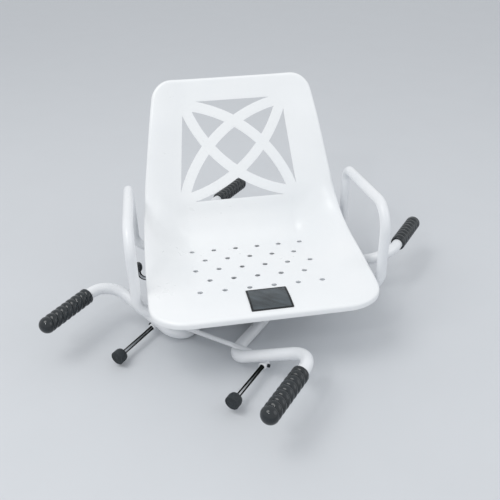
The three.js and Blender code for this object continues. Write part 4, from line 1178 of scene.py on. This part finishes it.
def floor_finish():
    """A pale matt floor, with a faint drift of its tint."""
    floor = bpy.context.scene.bath_seat.colours.floor
    material, tree, shader = new_material("Studio Floor")
    drift = noise(tree, tree.nodes.new("ShaderNodeTexCoord").outputs["Object"], 9.0, 4.0)
    darker, paler = opaque(tinted(floor, 0.985)), opaque(tinted(floor, 1.015))
    feed(tree, shader.inputs["Base Color"], mixed(tree, drift, darker, paler))
    shader.inputs["Roughness"].default_value = 0.8
    shader.inputs["Specular IOR Level"].default_value = 0.2
    return material


def lamp(name, spot, aim, size, watts, tint=(1, 1, 1)):
    """A round lamp that is turned to a place."""
    light = added(name, bpy.ops.object.light_add, type="AREA", location=spot)
    light.data.shape = "DISK"
    light.data.size = size
    light.data.energy = watts
    light.data.color = tint
    light.rotation_euler = (Vector(aim) - Vector(spot)).to_track_quat("-Z", "Y").to_euler()


def photograph_camera():
    """The camera at the photograph's place and angle."""
    yaw, pitch, roll = (math.radians(value) for value in CAMERA_ANGLES)
    forward = Vector((math.sin(yaw) * math.cos(pitch), math.cos(yaw) * math.cos(pitch), -math.sin(pitch)))
    level = Vector((math.cos(yaw), -math.sin(yaw), 0))
    down = forward.cross(level)
    right = level * math.cos(roll) + down * math.sin(roll)
    below = down * math.cos(roll) - level * math.sin(roll)
    camera = added("photograph_camera", bpy.ops.object.camera_add)
    camera.data.sensor_width = 36
    camera.data.lens = CAMERA_LENS
    camera.data.clip_start = 0.01
    turn = Matrix((right, -below, -forward)).transposed().to_4x4()
    camera.matrix_world = Matrix.Translation(CAMERA_SPOT) @ turn
    bpy.context.scene.camera = camera


class Studio(Operator):
    """Sets up the floor, the lamps, the world and the camera."""
    bl_idname = "bath_seat.studio"
    bl_label = "Studio"

    def execute(self, context):
        stage = context.scene.bath_seat.stage
        floor = added("floor", bpy.ops.mesh.primitive_plane_add, size=30, location=(0, 0, 0))
        place(floor, Matrix.Translation((0, 0, cad_box[0][2])))
        floor.data.materials.append(floor_finish())
        lamp("key_lamp", (-0.6, -1.15, 2.3), (0, 0, 0.1), 1.4, stage.key, (1.0, 0.99, 0.97))
        lamp("fill_lamp", (1.9, 0.4, 1.3), (0, 0, 0.1), 1.6, stage.fill, (0.97, 0.985, 1.0))
        lamp("glint_lamp", (0.15, -1.7, 1.6), (0, 0, 0), 0.12, stage.glint)
        self.world(stage.sky)
        photograph_camera()
        context.scene.view_settings.view_transform = "Standard"
        return {"FINISHED"}

    def world(self, strength):
        """Plain light from all round, and a white backdrop to look at and to mirror."""
        world = bpy.data.worlds.new("Studio Sky")
        bpy.context.scene.world = world
        world.use_nodes = True
        tree = world.node_tree
        tree.nodes.clear()
        sky, backdrop = (0.965, 0.98, 1.0), (0.90, 0.92, 0.94)
        light = shader_node(tree, "Background", Color=opaque(sky), Strength=strength)
        seen = shader_node(tree, "Background", Color=opaque(backdrop), Strength=1.0)
        path = shader_node(tree, "LightPath").outputs
        looked_at = math_node(tree, "MAXIMUM", path["Is Camera Ray"], path["Is Glossy Ray"])
        looked_at = math_node(tree, "MAXIMUM", looked_at, path["Is Transmission Ray"])
        mix = shader_node(tree, "MixShader")
        for socket, value in zip(mix.inputs, (looked_at, light.outputs[0], seen.outputs[0])):
            feed(tree, socket, value)
        shader_node(tree, "OutputWorld", Surface=mix.outputs[0])


class BATH_SEAT_PT_panel(Panel):
    """Lists the steps that dress the seat."""
    bl_label = "Bath Seat"
    bl_idname = "BATH_SEAT_PT_panel"
    bl_space_type = "VIEW_3D"
    bl_region_type = "UI"
    bl_category = "Bath Seat"

    def draw(self, context):
        for step in STEPS:
            self.layout.operator(step.bl_idname)


STEPS = (SeatShell, LabelPlate, Armrests, SideTubes, Grips, StopRods, Turntable, ReleaseLever, CoveredPieces,
         Studio)
CLASSES = (BathSeatTubes, BathSeatGrips, BathSeatMoulding, BathSeatColours, BathSeatStage, BathSeatSettings,
           *STEPS, BATH_SEAT_PT_panel)


def register():
    for item in CLASSES:
        bpy.utils.register_class(item)
    bpy.types.Scene.bath_seat = PointerProperty(type=BathSeatSettings)


def unregister():
    del bpy.types.Scene.bath_seat
    for item in reversed(CLASSES):
        bpy.utils.unregister_class(item)


def main():
    """Registers the add-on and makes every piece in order."""
    register()
    for step in STEPS:
        family, action = step.bl_idname.split(".")
        getattr(getattr(bpy.ops, family), action)()


if __name__ == "__main__":
    main()
